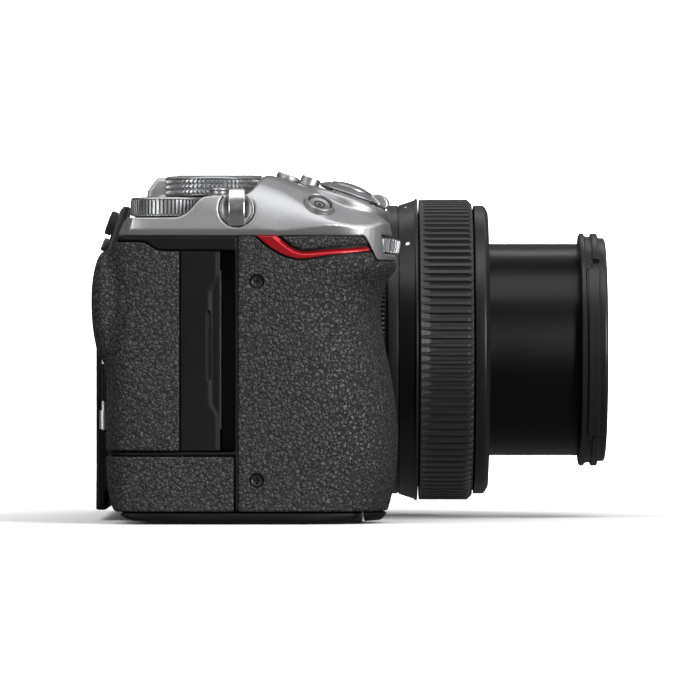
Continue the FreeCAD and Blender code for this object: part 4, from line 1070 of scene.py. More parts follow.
def base(x, y, z):
    b = body(x, y, z, 0.8)
    f = np.maximum(b + 0.12, z - 2.22)
    f = np.maximum(f, -0.02 - z)
    f = rmax(f, z - 2.22, 0.15)
    f = less(f, bx(x, y, z, (1.0, -68.0, -3.0), (27.0, -45.9, 4.0), 1.2), 0.18)
    f = less(f, bx(x, y, z, (-33.0, -39.0, -3.0), (-24.2, 43.0, 4.0)), 0.1)
    f = less(f, np.maximum(np.hypot(x, y) - 6.0, -5 - z), 0.2)
    for sx, sy in ((-18.0, -60.0), (-18.0, 46.0), (10.0, 46.0), (10.0, -32.0), (-18.0, -24.0)):
        f = less(f, np.maximum(np.hypot(x - sx, y - sy) - 1.5, z - 1.05), 0.12)
    # shallow grooves round the socket and a bare recessed plate
    f = less(f, np.maximum(np.abs(np.hypot(x, y) - 11.0) - 0.3, z - 0.3), 0.1)
    f = less(f, bx(x, y, z, (-17.0, 12.0, -3.0), (9.0, 34.0, 0.25), 1.5), 0.1)
    return f


piece("base_shell", base, (-26.5, -72.1, -0.1), (32.5, 54.1, 2.3), 0.42, "camera", "black_plastic",
      ("base_plate",), "black_plastic")


# ============================================================ rear and far leather
def low_skin(x, y, z):
    b = body(x, y, z)
    f = np.maximum(b, -(b + 0.8))
    edge = np.maximum(np.maximum(x + 0.78, 2.42 - z), np.maximum(z - 14.18, y + 61.1))
    return rmax(f, edge, 0.32)


def far_skin(x, y, z):
    b = body(x, y, z)
    f = np.maximum(b, -(b + 0.8))
    edge = bx(x, y, z, (2.1, 33.1, 4.1), (20, 60, 57.9), 1.2)
    f = rmax(f, edge, 0.32)
    return less(f, np.maximum(np.hypot(y - 35.5, z - 27.0) - 3.5, 13 - x), 0.25)


lower = nets("lower_leather", low_skin, (-29, -72.1, 2.3), (-0.6, -60.9, 14.4), 0.36 * HS)
add(lower, "camera", "leather", ("body_skins",), "leatherette")
farl = nets("far_leather", far_skin, (2.0, 32.9, 4.0), (17.2, 54.1, 58.0), 0.4 * HS)
add(farl, "camera", "leather", ("body_skins",), "leatherette")


# ===================================================================== rear shell
S_BAND = [(-40.0, 70.0), (-40.0, 60.25), (-20.9, 60.25), (-19.8, 60.05), (-18.3, 59.1), (-17.0, 58.35), (-15.2, 58.2),
          (2.0, 58.2), (2.0, 70.0)]
band_f = Plan(chaikin(S_BAND, keep=(0, 1, 7, 8), n=2), step=0.08)
DB, DT = 15.3, 58.2


def rear_shell(x, y, z):
    b = body(x, y, z)
    f = np.maximum(np.maximum(b + 0.3, -(b + 2.6)), np.maximum(x - 0.0, slab(z, 2.34, CB - 0.04)))
    # walls behind the screen and along the far side
    tray = bx(x, y, z, (-26.4, -41.0, 2.4), (-23.8, 45.0, 57.4), 0.4)
    f = np.minimum(f, tray)
    # card door opening, down to the frame round the card slots
    way = np.maximum(np.maximum(x + 0.60, -40 - x), np.maximum(-band_lower(x, z), y + 59.5))
    f = less(f, np.maximum(way, 14.35 - z), 0.15)
    deep = np.maximum(np.maximum(slab(x, -3.6, -0.5), slab(z, 15.2, 58.3)), slab(y, -66.9, -65.2))
    f = np.minimum(f, deep)
    plate = np.maximum(np.maximum(slab(x, -24.0, -3.4), slab(z, 14.4, 58.4)), slab(y, -60.6, -59.8))
    f = np.minimum(f, np.maximum(plate, -np.maximum(slab(x, -19.4, -4.2), slab(z, 20.8, 53.2))))
    # seats of the lower skin and the strip under the door
    ledge = np.maximum(np.maximum(b + 0.95, -(b + 2.6)), np.maximum(slab(z, 2.34, 14.3), np.maximum(x, y + 61.0)))
    f = np.where((z < 14.3) & (x < 0) & (y < -61.0), ledge, f)
    lip = np.maximum(np.maximum(b + 0.35, -(b + 2.8)), np.maximum(slab(z, 14.32, 15.15), slab(x, -27.2, 0.0)))
    f = np.minimum(f, np.maximum(lip, y + 60.0))
    # room for the carrier plate as it slides back
    f = less(f, bx(x, y, z, (-26.3, -59.7, 17.4), (-20.0, -53.4, 56.6), 0.2), 0.1)
    # screen well, rear wheel, port cover, rear panel
    f = less(f, bx(x, y, z, (-40, -38.6, -3), (-26.4, 42.6, 56.1), 0.6), 0.3)
    f = less(f, np.maximum(np.hypot(y + 48.5, z - 30.0) - 8.5, x + 27.5), 0.3)
    f = less(f, bx(x, y, z, (-21.3, 51.9, 29.7), (-2.1, 60, 54.3), 0.4), 0.15)
    f = less(f, bx(x, y, z, (-19.0, 48.0, 31.6), (-5.0, 60, 52.4), 0.4), 0.15)
    f = less(f, np.maximum(panel_f(x, z) - 0.14, slab(y, -50.15, -30.85)), 0.1)
    f = less(f, np.maximum(np.maximum(slab(y, -60.3, -57.6), x + 20.0),
                           np.minimum(slab(z, 19.7, 24.3), slab(z, 49.7, 54.3))), 0.1)
    f = less(f, np.maximum(np.hypot(x + 29.0, y + 60.0) - 1.35, slab(z, 15.0, 58.5)), 0.1)
    return f


def band_lower(x, z):
    return band_f(x, z) - 0.0


piece("shell_rear", rear_shell, (-29.0, -72.1, 2.3), (0.1, 54.1, 61.45), 0.5, "camera", "black_plastic",
      ("rear_shell",), "black_plastic")


# ======================================================================= card door
def thumb(x, y, z):
    """Body form with the thumb rest rolling out of its rear corner."""
    b = body(x, y, z)
    zc = z - 47.6
    zc = np.where(zc > 0, zc / 10.6, zc / 13.0)
    e = np.sqrt(((x + 28.6) / 2.95) ** 2 + ((y + 64.9) / 4.6) ** 2 + zc ** 2)
    roll = (e - 1.0) * 2.8
    return rmin(b, roll, 1.3)


def door_skin(x, y, z):
    b = thumb(x, y, z)
    f = np.maximum(b, -(body(x, y, z) + 0.8))
    edge = np.maximum(np.maximum(DB + 0.12 - z, x + 12.42), y + 61.25)
    edge = rmax(edge, -(band_f(x, z) - 0.16), 0.15)
    f = rmax(f, edge, 0.36)
    slots = np.maximum(y + 58.0, np.minimum(slab(z, 19.7, 24.3), slab(z, 49.7, 54.3)))
    f = less(f, np.maximum(slots, -61.9 - y), 0.1)
    return less(f, np.hypot(x + 29.0, y + 60.0) - 1.12, 0.05)


piece("door_leather", door_skin, (-31.6, -72.1, 15.3), (-12.3, -61.2, 60.3), 0.36, "door", "leather",
      ("door_skin",), "leatherette")


def door_plate(x, y, z):
    b = body(x, y, z)
    flat = rmax(b + 0.42, np.maximum(np.maximum(slab(x, -12.18, -3.72), slab(z, DB + 0.05, DT - 0.08)), y + 60), 0.14)
    sc = step((53.2 - z) / 4.0) * step((z - 22.4) / 3.6)
    wid = 0.78 + 1.72 * sc
    dd = 0.85 + 0.55 * sc
    q = -(b + 0.42)
    bev = (dd * (x + 3.7 + wid) / wid - q) / np.hypot(1.0, dd / wid)
    flat = rmax(flat, bev, 0.12)
    slot_z = slab(z, 30.6, 45.2)
    for a, c in ((-6.45, -5.92), (-5.42, -4.80)):
        flat = less(flat, np.maximum(np.maximum(slab(x, a, c), slot_z), q - 2.2), 0.06)
    flat = np.maximum(flat, -(b + 2.0))
    back = np.maximum(np.maximum(b + 0.82, -(b + 2.0)), np.maximum(slab(z, DB + 0.05, DT - 0.05), x + 3.72))
    back = np.maximum(back, np.maximum(y + 60.1, -42 - x))
    f = np.minimum(flat, back)
    pins = np.minimum(slab(z, 26.0, 34.0), slab(z, 40.0, 48.0))
    kn = np.maximum(np.hypot(x + 29.0, y + 60.0) - 1.0, pins)
    web = np.maximum(np.maximum(slab(x, -29.0, -27.4), slab(y, -61.4, -60.0)), pins)
    f = np.minimum(f, np.minimum(kn, web))
    f = np.maximum(f, -(np.hypot(x + 29.0, y + 60.0) - 0.65))
    slots = np.maximum(np.maximum(slab(y, -61.9, -58.0), x + 25.0),
                       np.minimum(slab(z, 19.7, 24.3), slab(z, 49.7, 54.3)))
    return np.maximum(f, -slots)


piece("door_plate", door_plate, (-30.1, -72.1, 15.2), (-3.6, -59.0, 58.3), 0.3, "door", "black_plastic",
      ("card_door",), "black_plastic")


def channel(x, y, z):
    return rmax(slab(x, -3.62, -0.45), np.maximum(slab(z, 15.25, 58.3), slab(y, -67.5, -66.8)), 0.1)


piece("channel_floor", channel, (-3.8, -67.7, 15.0), (-0.3, -66.6, 58.5), 0.4, "camera", "deep")


# ==================================================================== top controls
def tri(t):
    """0 on a ridge, 1 in a groove."""
    return np.abs(2.0 * (t - np.floor(t)) - 1.0)


def mode_wall(th, h):
    u = tri(th * 66 / (2 * PI))
    v = tri((h - 0.22) / 1.16)
    inside = ((h > 0.2) & (h < 3.74)).astype(float)
    d = np.clip(np.maximum(u, v * 1.0) * 1.12 - 0.10, 0, 1) * 0.58
    return 10.72 - d * inside - 0.10 * (1 - inside)


hs = np.concatenate([[0.12], np.linspace(0.2, 3.74, 43), [3.78]])
md = knob("mode_dial_top", MODE, 66 * 12, hs, mode_wall,
          [(10.70, 3.80), (10.62, 3.92), (10.05, 4.30), (9.85, 4.385), (9.6, 4.40), (9.3, 4.40), (9.22, 4.33), (9.1, 4.31), (3.0, 4.31), (0.0, 4.31)],
          [(0.0, 0.02), (6.0, 0.02), (10.2, 0.02), (10.5, 0.06)], sharp=28)
add(md, "mode", "knob", ("mode_dial",), "silver_knob")
shaft = turned("mode_shaft", [(0, -3.4), (2.0, -3.4), (2.0, 0.02), (0, 0.02)], MODE, 48)
add(shaft, "mode", "steel", (), "silver_knob")


def rear_wall(th, h):
    v = tri(th * 60 / (2 * PI))
    g = step((v - 0.42) / 0.40)
    fade = step((h - 0.36) / 0.40)
    return 8.18 - 0.52 * g * fade - 0.16 * (1 - fade)


hs = np.concatenate([np.linspace(0.34, 0.9, 7), np.linspace(1.1, 3.6, 6), [3.75]])
rd = knob("rear_dial_top", RDIAL, 60 * 12, hs, rear_wall,
          [(7.66, 3.80), (7.72, 3.82), (8.02, 3.84), (8.06, 3.98), (7.95, 4.2), (7.75, 4.36), (7.45, 4.40), (6.9, 4.38), (6.7, 4.30), (0.0, 4.30)],
          [(0.0, 0.02), (6.6, 0.02), (6.9, 0.30), (7.6, 0.30)], sharp=32)
add(rd, "thumb_wheel", "knob", ("rear_dial",), "silver_knob")
shaft = turned("rear_dial_shaft", [(0, -3.0), (2.0, -3.0), (2.0, 0.02), (0, 0.02)], RDIAL, 48)
add(shaft, "thumb_wheel", "steel", (), "silver_knob")


def front_wall(th, h):
    v = tri(th * 46 / (2 * PI))
    g = step((v - 0.35) / 0.6)
    fade = step((h - 0.05) / 0.4) * step((3.05 - h) / 0.35)
    return 7.98 - 0.48 * g * fade - 0.14 * (1 - fade)


hs = np.concatenate([np.linspace(0.06, 0.5, 6), np.linspace(0.8, 2.4, 5), np.linspace(2.6, 3.04, 5)])
fd = knob("front_dial_rim", FDIAL, 46 * 12, hs, front_wall, [(7.6, 3.08), (7.0, 3.1), (0.0, 3.1)],
          [(0.0, 0.0), (7.0, 0.0), (7.5, 0.02)], sharp=32)
add(fd, "finger_wheel", "knob", ("front_dial",), "silver_knob")
shaft = turned("front_dial_shaft", [(0, -2.4), (1.3, -2.4), (1.3, 0.0), (0, 0.0)], FDIAL, 40)
add(shaft, "finger_wheel", "steel", (), "silver_knob")

# shutter button and its collar with the power lever
add(turned("release_cap", [(0, 1.95), (2.0, 1.95), (2.0, 2.72), (4.42, 2.72), (4.58, 2.80), (4.62, 2.95), (4.61, 3.34),
                           (4.52, 3.50), (4.3, 3.60), (3.6, 3.80), (2.8, 4.00), (2.0, 4.14), (1.2, 4.23), (0.5, 4.27),
                           (0, 4.28)], REL, 144, sharp=50), "release", "knob", ("shutter_button",), "silver_knob")
ring_f = Plan(chaikin([(4.35, 1.5), (6.55, 1.46), (6.6, 1.80), (7.18, 1.84), (7.22, 1.98), (7.12, 2.14), (5.45, 3.12), (5.2, 3.18),
                       (4.98, 3.12), (4.86, 2.95), (4.80, 1.95), (4.35, 1.93)], n=1), step=0.03, pad=3.0)
tab_f = Plan(chaikin([(4.9, 3.0), (5.3, 3.5), (6.2, 4.08), (7.0, 4.10), (8.0, 3.80), (8.75, 3.05), (8.98, 2.4), (8.98, 1.85), (8.7, 1.52),
                      (6.4, 1.5)], n=1), step=0.03, pad=3.0)


def lever(x, y, z):
    u, v, h = local(x, y, z, REL)
    rho = np.hypot(u, v)
    ring = ring_f(rho, h)
    tab = rmax(tab_f(rho * np.where(u > 0, 1, -1), h), np.abs(v) - 3.1 + 0.12 * (h - 1.5), 0.35)
    tab = np.maximum(tab, 2.0 - u)
    # finger ridges round the outer edge
    a = np.arctan2(v, np.maximum(u, 0.1))
    groove = 0.20 * step((tri(a * 8.6 / 0.62) - 0.25) / 0.6) * step((rho - 6.9) / 0.8) * step((2.75 - np.abs(v)) / 0.4)
    tab = tab + groove
    f = rmin(ring, tab, 0.18)
    return f


o = nets("power_collar", lever, (14.9, -62.6, 65.8), (33.0, -47.4, 74.9), 0.17 * HS, relax=1)
add(o, "power", "knob", ("power_lever",), "silver_knob")


def spot(name, F, r, h0, h1, body_name, material_name, n=40, r0=0.0):
    """Small printed or inlaid mark."""
    prof = [(r0, h0), (r, h0), (r, h1 - 0.01), (r - 0.03, h1), (r0 + (0.03 if r0 else 0), h1)]
    return add(turned(name, prof, F, n), body_name, material_name)


# fine ridges on the cover under the collar
grips = []
for i in range(19):
    a = math.radians(-90 + (i - 9) * 3.6 + 4)
    p = np.array(REL[0]) + REL[1] * math.cos(a) * 7.50 + REL[2] * math.sin(a) * 7.50 + REL[3] * 1.1
    grips.append(turned("r", [(0, 0), (0.16, 0), (0.16, 0.40), (0.10, 0.50), (0, 0.50)], frame_of(p, NR), 10))
base_o = grips[0]
base_o.name = "collar_ridges"
import bmesh


def join(name, objs, body_name, material_name, nodes=(), slot=None):
    """Several meshes as one piece."""
    bm = bmesh.new()
    for o in objs:
        bm.from_mesh(o.data)
    me = bpy.data.meshes.new(name)
    bm.to_mesh(me)
    bm.free()
    for o in objs:
        m = o.data
        bpy.data.objects.remove(o)
        bpy.data.meshes.remove(m)
    ob = bpy.data.objects.new(name, me)
    return add(ob, body_name, material_name, nodes, slot)


join("collar_ridges", grips, "camera", "silver", (), "silver_paint")

# record, flat and lock buttons
add(turned("record_cup", [(0, 0.6), (2.12, 0.6), (2.24, 0.72), (2.24, 1.0), (2.16, 1.2), (2.16, 2.35), (2.06, 2.62), (1.88, 2.70),
                          (1.70, 2.62), (1.5, 2.36), (0.9, 2.22), (0, 2.2)], REC, 96, sharp=40), "record", "knob",
    ("record_button",), "silver_knob")
spot("record_dot", REC, 0.78, 2.12, 2.27, "record", "red")
add(turned("flat_cap", [(0, 0.30), (2.50, 0.30), (2.56, 0.42), (2.56, 1.16), (2.46, 1.38), (2.24, 1.50), (2.0, 1.54), (0.9, 1.48), (0, 1.46)],
           FLAT, 96, sharp=40), "flat", "knob", ("flat_button",), "silver_knob")
add(turned("lock_cap", [(0, 0.64), (1.86, 0.64), (1.96, 0.74), (1.94, 1.30), (2.10, 1.44), (2.22, 1.56),
                        (2.22, 1.76), (2.1, 1.92), (1.9, 1.97), (0.9, 1.90), (0, 1.88)], LOCK, 96, sharp=40), "lock", "knob", ("lock_button",), "silver_knob")

add(turned("lock_base", soft([(2.30, -0.2), (2.52, -0.2), (2.52, 0.44), (2.30, 0.44)], 0.06, 2), LOCK, 96, sharp=40), "camera", "silver")

# function button on the side slope, in its raised ring
add(turned("fn_ring", soft([(2.72, -1.2), (3.16, -1.2), (3.30, -0.05), (3.18, 0.35), (3.06, 0.98), (2.90, 1.06), (2.74, 0.94)], 0.08, 2),
           FN, 112, sharp=50), "camera", "silver", ("fn_bezel",), "silver_paint")
add(turned("fn_floor", [(0, -1.8), (2.76, -1.8), (2.76, -1.45), (0, -1.45)], FN, 64), "camera", "deep")
add(turned("fn_cap", [(0, -0.6), (2.3, -0.6), (2.46, -0.5), (2.46, 0.18), (2.36, 0.40), (2.2, 0.52), (2.0, 0.50), (1.5, 0.38),
                      (0.8, 0.30), (0, 0.28)], FN, 96, sharp=45), "function", "knob", ("fn_button",), "silver_knob")
FNd = (FN[0] + FN[3] * 0.02, FN[1], FN[2], FN[3])
spot("fn_mark_ring", FNd, 1.25, 0.2, 0.42, "function", "black_mark", 48, 0.92)
spot("fn_mark_dot", FNd, 0.42, 0.2, 0.36, "function", "black_mark", 32)


# ====================================================================== strap lugs
def lug_cup(s):
    y0 = -70.0 if s < 0 else 52.0

    def f(x, y, z):
        d = s * (y - y0)                         # outwards
        rr = np.hypot(x - LUG[0], z - LUG[1])
        cup = rmax(rr - 3.70, np.maximum(-0.6 - d, d - 1.45), 0.08)
        room = rmax(rr - 3.50, 2.6 - np.sqrt(np.maximum(0.0, 16.0 - 0.72 * rr * rr)) + 1.9 - d, 0.12)
        return rmax(cup, -room, 0.10)
    return f


def lug_bar(s):
    y0 = -70.0 if s < 0 else 52.0

    def f(x, y, z):
        d = s * (y - y0)
        dc, zc, R = -2.80, LUG[1] - 0.2, 5.70
        rad = np.hypot(d - dc, z - zc)
        ax = np.abs(x - LUG[0])
        bar = rmax(rad - R, ax - 1.8, 0.34)
        bar = rmax(bar, -(rad - (R - 1.2)), 0.2)
        return np.maximum(bar, np.maximum(0.3 - d, slab(z, LUG[1] - 3.5, LUG[1] + 4.5)))
    return f


for s, nm in ((-1, "near"), (1, "far")):
    y0 = -70.0 if s < 0 else 52.0
    lo = (-4.2, min(y0 - 0.7 * s, y0 + 3.0 * s), 63.0)
    hi = (3.8, max(y0 - 0.7 * s, y0 + 3.0 * s), 71.7)
    add(nets("strap_cup_" + nm, lug_cup(s), lo, hi, 0.15 * HS), "camera", "knob", ("strap_lugs",), "chrome")
    add(nets("strap_bar_" + nm, lug_bar(s), lo, hi, 0.15 * HS), "camera", "chrome", ("strap_lugs",), "chrome")

# ======================================================================== hot shoe
# (built further down, with the screen and other fittings)


# ============================================================ rear panel and knobs
def rear_block(x, y, z):
    f = rmax(panel_f(x, z) + 0.02, slab(y, -49.95, -31.05), 0.45)
    f = less(f, cyl_f(x, y, z, STICK, 2.1, -5, 5), 0.15)
    f = less(f, cyl_f(x, y, z, STICK, 3.2, 0.35, 5), 0.15)
    f = less(f, cyl_f(x, y, z, RBUT, 1.75, -0.6, 5), 0.12)
    return f


piece("rear_block", rear_block, (-29.5, -50.1, 57.0), (-23.6, -30.9, 68.5), 0.22, "camera", "dark_plastic",
      ("rear_panel",), "black_plastic")


def stick_wall(th, h):
    v = tri(th * 30 / (2 * PI))
    return 2.68 - 0.16 * step((v - 0.3) / 0.6) * step((h - 0.9) / 0.2)


st = knob("stick_disc", STICK, 30 * 8, np.array([0.82, 0.95, 1.1, 1.4, 1.7, 1.95, 2.05]), stick_wall,
          [(2.5, 2.2), (2.3, 2.25), (2.1, 2.08), (1.9, 2.2), (1.7, 2.05), (1.5, 2.18), (1.3, 2.02), (1.1, 2.14), (0.9, 2.0), (0.5, 2.08), (0, 2.1)],
          [(0, -1.6), (1.0, -1.6), (1.0, 0.75), (2.4, 0.75)], sharp=35)
add(st, "stick", "rubber", ("thumb_stick",), "rubber")
add(turned("stick_collar", [(3.22, -0.2), (4.05, -0.2), (3.95, 0.4), (3.65, 0.62), (3.35, 0.60), (3.22, 0.45)], STICK, 96, sharp=40),
    "camera", "dark_plastic")
add(turned("rear_button_cap", [(0, 0.1), (1.45, 0.1), (1.5, 0.4), (1.5, 1.25), (1.35, 1.45), (1.1, 1.5), (0, 1.42)], RBUT, 64,
           sharp=45), "menu", "dark_plastic", ("rear_button",), "black_plastic")
WHEEL = frame_of((-27.75, -48.5, 30.0), (-1, 0, 0), (0, 1, 0))


def wheel_wall(th, h):
    v = tri(th * 56 / (2 * PI))
    return 7.95 - 0.28 * step((v - 0.3) / 0.6) * step((1.6 - h) / 0.3)


wh = knob("rear_wheel_rim", WHEEL, 56 * 8, np.array([0.05, 0.4, 0.9, 1.15, 1.3, 1.45, 1.55]), wheel_wall,
          [(7.6, 1.75), (7.2, 1.9), (6.8, 1.9), (4.4, 1.62), (4.1, 1.58), (4.05, 1.4), (0, 1.4)], [(0, 0), (7.6, 0.0)], sharp=35)
add(wh, "wheel", "dark_plastic", ("rear_wheel",), "black_plastic")
add(turned("rear_wheel_key", [(0, 1.3), (3.85, 1.3), (3.9, 1.45), (3.8, 1.68), (3.5, 1.78), (0, 1.7)], WHEEL, 72, sharp=45),
    "wheel", "black_steel", (), "black_plastic")


# ================================================================== grip screws
def grip_screw(zc):
    def f(x, y, z):
        r = np.hypot(x - 4.1, z - zc)
        head = rmax(r - 1.40, slab(y, -71.3, -69.9), 0.16)
        dish = rmax(r - 1.02, y + 71.12, 0.10)
        head = rmax(head, -dish, 0.05)
        cross = np.minimum(np.maximum(np.abs(x - 4.1) - 0.20, np.abs(z - zc) - 0.82),
                           np.maximum(np.abs(z - zc) - 0.20, np.abs(x - 4.1) - 0.82))
        head = rmax(head, -np.maximum(cross, y + 70.45), 0.05)
        shank = np.maximum(r - 0.72, slab(y, -70.2, -66.5))
        return np.minimum(head, shank)
    return f


heads = [nets("g%d" % i, grip_screw(zc), (2.6, -71.5, zc - 1.5), (5.6, -66.3, zc + 1.5), 0.09 * HS)
         for i, zc in enumerate((51.6, 9.1))]
join("grip_screw_pair", heads, "camera", "black_steel", ("grip_screws",), "black_steel")


@material
def m_rubber_ring():
    """Rubber grip ring of the lens: matt, slightly greyer than the barrel."""
    m = Mat("rubber_ring", Roughness=0.5, Specular_IOR_Level=0.4)
    v = m.coords(MMS)
    n = m.noise(v, 6.0, 3.0, 0.65)
    wide = m.noise(v, 0.2, 2.0, 0.5)
    m.colour(m.ramp(n.outputs[0], [(0.3, (0.0145, 0.0145, 0.015)), (0.7, (0.021, 0.021, 0.0215))]))
    m.rough(m.span(wide.outputs[0], 0.3, 0.7, 0.46, 0.56))
    return m.normal(m.bump(n.outputs[0], 0.3, 0.015)).m


# ============================================================================ lens
RR, ZR, BR, FF = 32.4, 33.75, 23.8, 26.15
N = 256


def ring(name, prof, body_name, material_name, nodes=(), slot=None, r=0.12, n=None, keep=(), sharp=35):
    o = turned(name, soft(prof, r, 2, keep), LENS, n or N, sharp=sharp)
    return add(o, body_name, material_name, nodes, slot)


ring("lens_rear_barrel", [(24.0, 18.8), (31.1, 18.8), (31.35, 19.9), (31.35, 20.15), (31.1, 20.3), (31.1, 20.6), (31.6, 20.9), (31.6, 23.9),
                          (29.4, 23.9), (29.4, 32.3), (27.0, 32.3), (27.0, 20.3), (24.0, 20.3)], "camera", "lens_black",
     ("rear_barrel",), "lens_black", keep=(9,))


def control_wall(th, h):
    """Fine teeth, rounded at both ends, between two plain rims."""
    v = tri(th * 192 / (2 * PI))
    w = step((v - 0.30) / 0.35)
    ends = step((h - 24.9) / 0.35)
    r = RR - 0.72 * w * ends
    return np.minimum(r, np.interp(h, [24.2, 24.45, 31.35, 32.0], [32.0, RR, RR, 31.7]))


hs = np.concatenate([[24.2, 24.32, 24.45, 24.9, 25.0, 25.15, 25.35, 26.2], np.linspace(28, 31.2, 3), [31.45, 31.6, 31.75, 31.88, 32.0]])
cr = knob("control_ring_teeth", LENS, 192 * 8, hs, control_wall, [(29.45, 32.0), (29.45, 24.2)], [(29.45, 24.2)], sharp=38)
add(cr, "control", "lens_black", ("control_ring",), "lens_black")

ring("lens_middle_barrel", [(29.4, 32.3), (32.1, 32.3), (RR, 32.42), (RR, 34.62), (32.18, 34.7), (32.18, 34.86), (32.48, 34.94), (33.6, 38.35), (33.92, 38.5),
                            (33.92, 38.95), (33.7, 39.1), (29.2, 39.1), (29.2, 54.0), (27.0, 54.0), (27.0, 32.3)], "camera", "lens_black",
     ("middle_barrel",), "lens_black", r=0.07, keep=(0, 14))


def zoom_wall(th, h):
    v = 2.0 * (th * 112 / (2 * PI) - np.floor(th * 112 / (2 * PI))) - 1.0      # -1..1 across a pitch
    a = np.abs(v)
    ridge = 0.34
    t = np.clip((a - ridge) / 0.30, 0, 1)
    deep = np.sqrt(np.clip(1 - (1 - t) ** 2, 0, 1)) * 1.0
    groove = ZR - deep
    ramp_ = np.interp(h, [39.55, 40.0, 41.3, 42.0], [ZR, ZR - 0.06, ZR - 0.80, ZR - 0.90])
    outer = np.interp(h, [39.4, 39.58, 50.25, 51.2, 51.3], [ZR - 0.2, ZR, ZR, 32.82, 32.62])
    return np.minimum(outer, np.maximum(groove, ramp_))


hs = np.concatenate([[39.4, 39.5, 39.62], np.linspace(39.8, 41.4, 9), [42.0, 45.0, 48.0, 49.9], np.linspace(50.2, 51.2, 11), [51.3]])
zr = knob("zoom_ring_ribs", LENS, 112 * (18), hs, zoom_wall, [(29.25, 51.3), (29.25, 39.4)], [(29.25, 39.4)], sharp=40)
add(zr, "zoom", "rubber_ring", ("zoom_ring",), "rubber")

ring("lens_front_ring", [(29.2, 51.6), (32.1, 51.6), (RR, 51.75), (RR, 53.85), (32.1, 54.25), (31.2, 54.72), (31.0, 54.9), (24.6, 54.9), (24.35, 54.75),
                         (23.85, 54.75), (23.85, 54.0), (29.2, 54.0)], "camera", "lens_black", ("front_sleeve",), "lens_black", r=0.16)

# drawn-out barrel
ring("lens_inner_barrel", [(22.6, 41.0), (25.55, 41.0), (25.55, 44.0), (BR, 44.0), (BR, 75.28), (22.85, 75.28), (22.85, 76.2), (17.6, 76.2), (16.5, 72.0), (16.5, 69.0),
                           (22.6, 69.0)], "barrel", "barrel", ("inner_barrel",), "lens_black", r=0.08)


def filter_wall(th, h):
    d = np.degrees(th)
    dd = np.where(d > 180, 360 - d, d)                # alike on both sides
    shut = step((dd - 45.6) / 0.25) * step((137.6 - dd) / 0.25)
    flange = FF
    low = 25.42
    g1 = np.where(shut > 0.5, FF - 0.03, low)
    r = np.interp(h, [75.3, 75.55, 76.3, 76.5, 76.56], [FF - 0.42, FF, FF, FF - 0.2, low]) + 0 * d
    mid = np.where(h < 76.98, low + 0.12, g1)
    r = np.where(h > 76.55, mid, r)
    top = np.interp(h, [77.88, 77.93, 78.12, 79.2, 79.42, 79.48], [low, FF - 0.22, FF, FF, FF - 0.2, 25.12]) + 0 * d
    use = (h > 77.90) | ((h > 77.88) & (shut < 0.5))
    r = np.where(use, np.where((shut > 0.5) & (h < 78.12), FF - 0.03, top), r)
    notch = (((dd > 39.6) & (dd < 46.6)) | ((dd > 137.4) & (dd < 140.9))) & (h > 77.7) & (h < 79.44)
    slit = (((dd > 45.3) & (dd < 46.6)) | ((dd > 137.4) & (dd < 138.9))) & (h > 76.6) & (h < 79.44)
    r = np.where(notch | slit, 25.16, r)
    r = np.where(h > 79.46, np.interp(h, [79.46, 80.72, 80.95, 81.12, 81.2], [25.12, 25.12, 24.98, 24.72, 24.45]), r)
    return r


hs = np.array([75.3, 75.4, 75.55, 76.3, 76.42, 76.5, 76.57, 76.96, 77.0, 77.3, 77.6, 77.87, 77.94, 78.02, 78.13, 78.7, 79.2, 79.34, 79.42,
               79.47, 79.6, 80.3, 80.72, 80.85, 80.95, 81.05, 81.12, 81.2])
fr = knob("filter_ring_flanges", LENS, 1080, hs, filter_wall,
          [(23.4, 81.2), (23.15, 81.05), (23.0, 80.7)] + [(23.0 - 0.18 * (i % 2), 80.55 - 0.27 * i) for i in range(9)] +
          [(22.9, 78.1), (22.6, 77.9), (22.4, 76.9), (22.85, 76.3), (22.85, 75.3)], [(22.85, 75.3)], sharp=32)
add(fr, "barrel", "lens_black", ("filter_ring",), "lens_black")
ring("lens_name_ring", [(17.7, 76.3), (21.9, 76.3), (22.3, 77.9), (22.1, 78.1), (20.9, 78.1), (20.7, 77.95), (19.6, 77.6), (19.4, 77.7), (18.6, 77.3),
                        (17.85, 76.9)], "barrel", "lens_black", ("name_ring",), "lens_black", r=0.06)
ring("lens_front_glass", [(0.0, 72.1), (16.4, 72.1), (17.0, 74.6), (16.6, 74.85), (15.5, 75.05), (13.6, 75.42), (11.0, 75.85), (8.6, 76.13), (6.3, 76.34), (4.0, 76.49),
                          (2.0, 76.58), (0.0, 76.6)], "barrel", "glass", ("front_glass",), "lens_glass", r=0.0, keep=tuple(range(12)), sharp=60)
ring("lens_front_step", [(16.5, 76.18), (17.75, 76.18), (17.75, 76.6), (17.3, 76.75), (16.75, 76.3)], "barrel", "deep", (), "lens_black", r=0.03)

# white index dot on the cone
a = math.radians(45.0)
rd_ = 32.48 + (36.75 - 34.94) / (38.35 - 34.94) * (33.6 - 32.48)
nrm = (-0.31, -math.sin(a), math.cos(a))
DOT = frame_of((36.75, -math.sin(a) * (rd_ - 0.02), LZ + math.cos(a) * (rd_ - 0.02)), nrm)
spot("index_dot", DOT, 0.48, -0.05, 0.06, "camera", "white", 32)
# plain marks on top of the middle barrel: three short bars
bars = []
for deg, wdt in ((-14.0, 0.5), (-4.0, 0.35), (6.0, 0.35), (16.0, 0.5)):
    a = math.radians(deg)
    p = np.array((36.4, -math.sin(a) * rd_, LZ + math.cos(a) * rd_))
    F = frame_of(p, (-0.31, -math.sin(a), math.cos(a)), (1, 0, 0))
    bars.append(turned("b", [(0, -0.05), (wdt / 2, -0.05), (wdt / 2, 0.03), (0, 0.03)], F, 12))
join("barrel_marks", bars, "camera", "white")



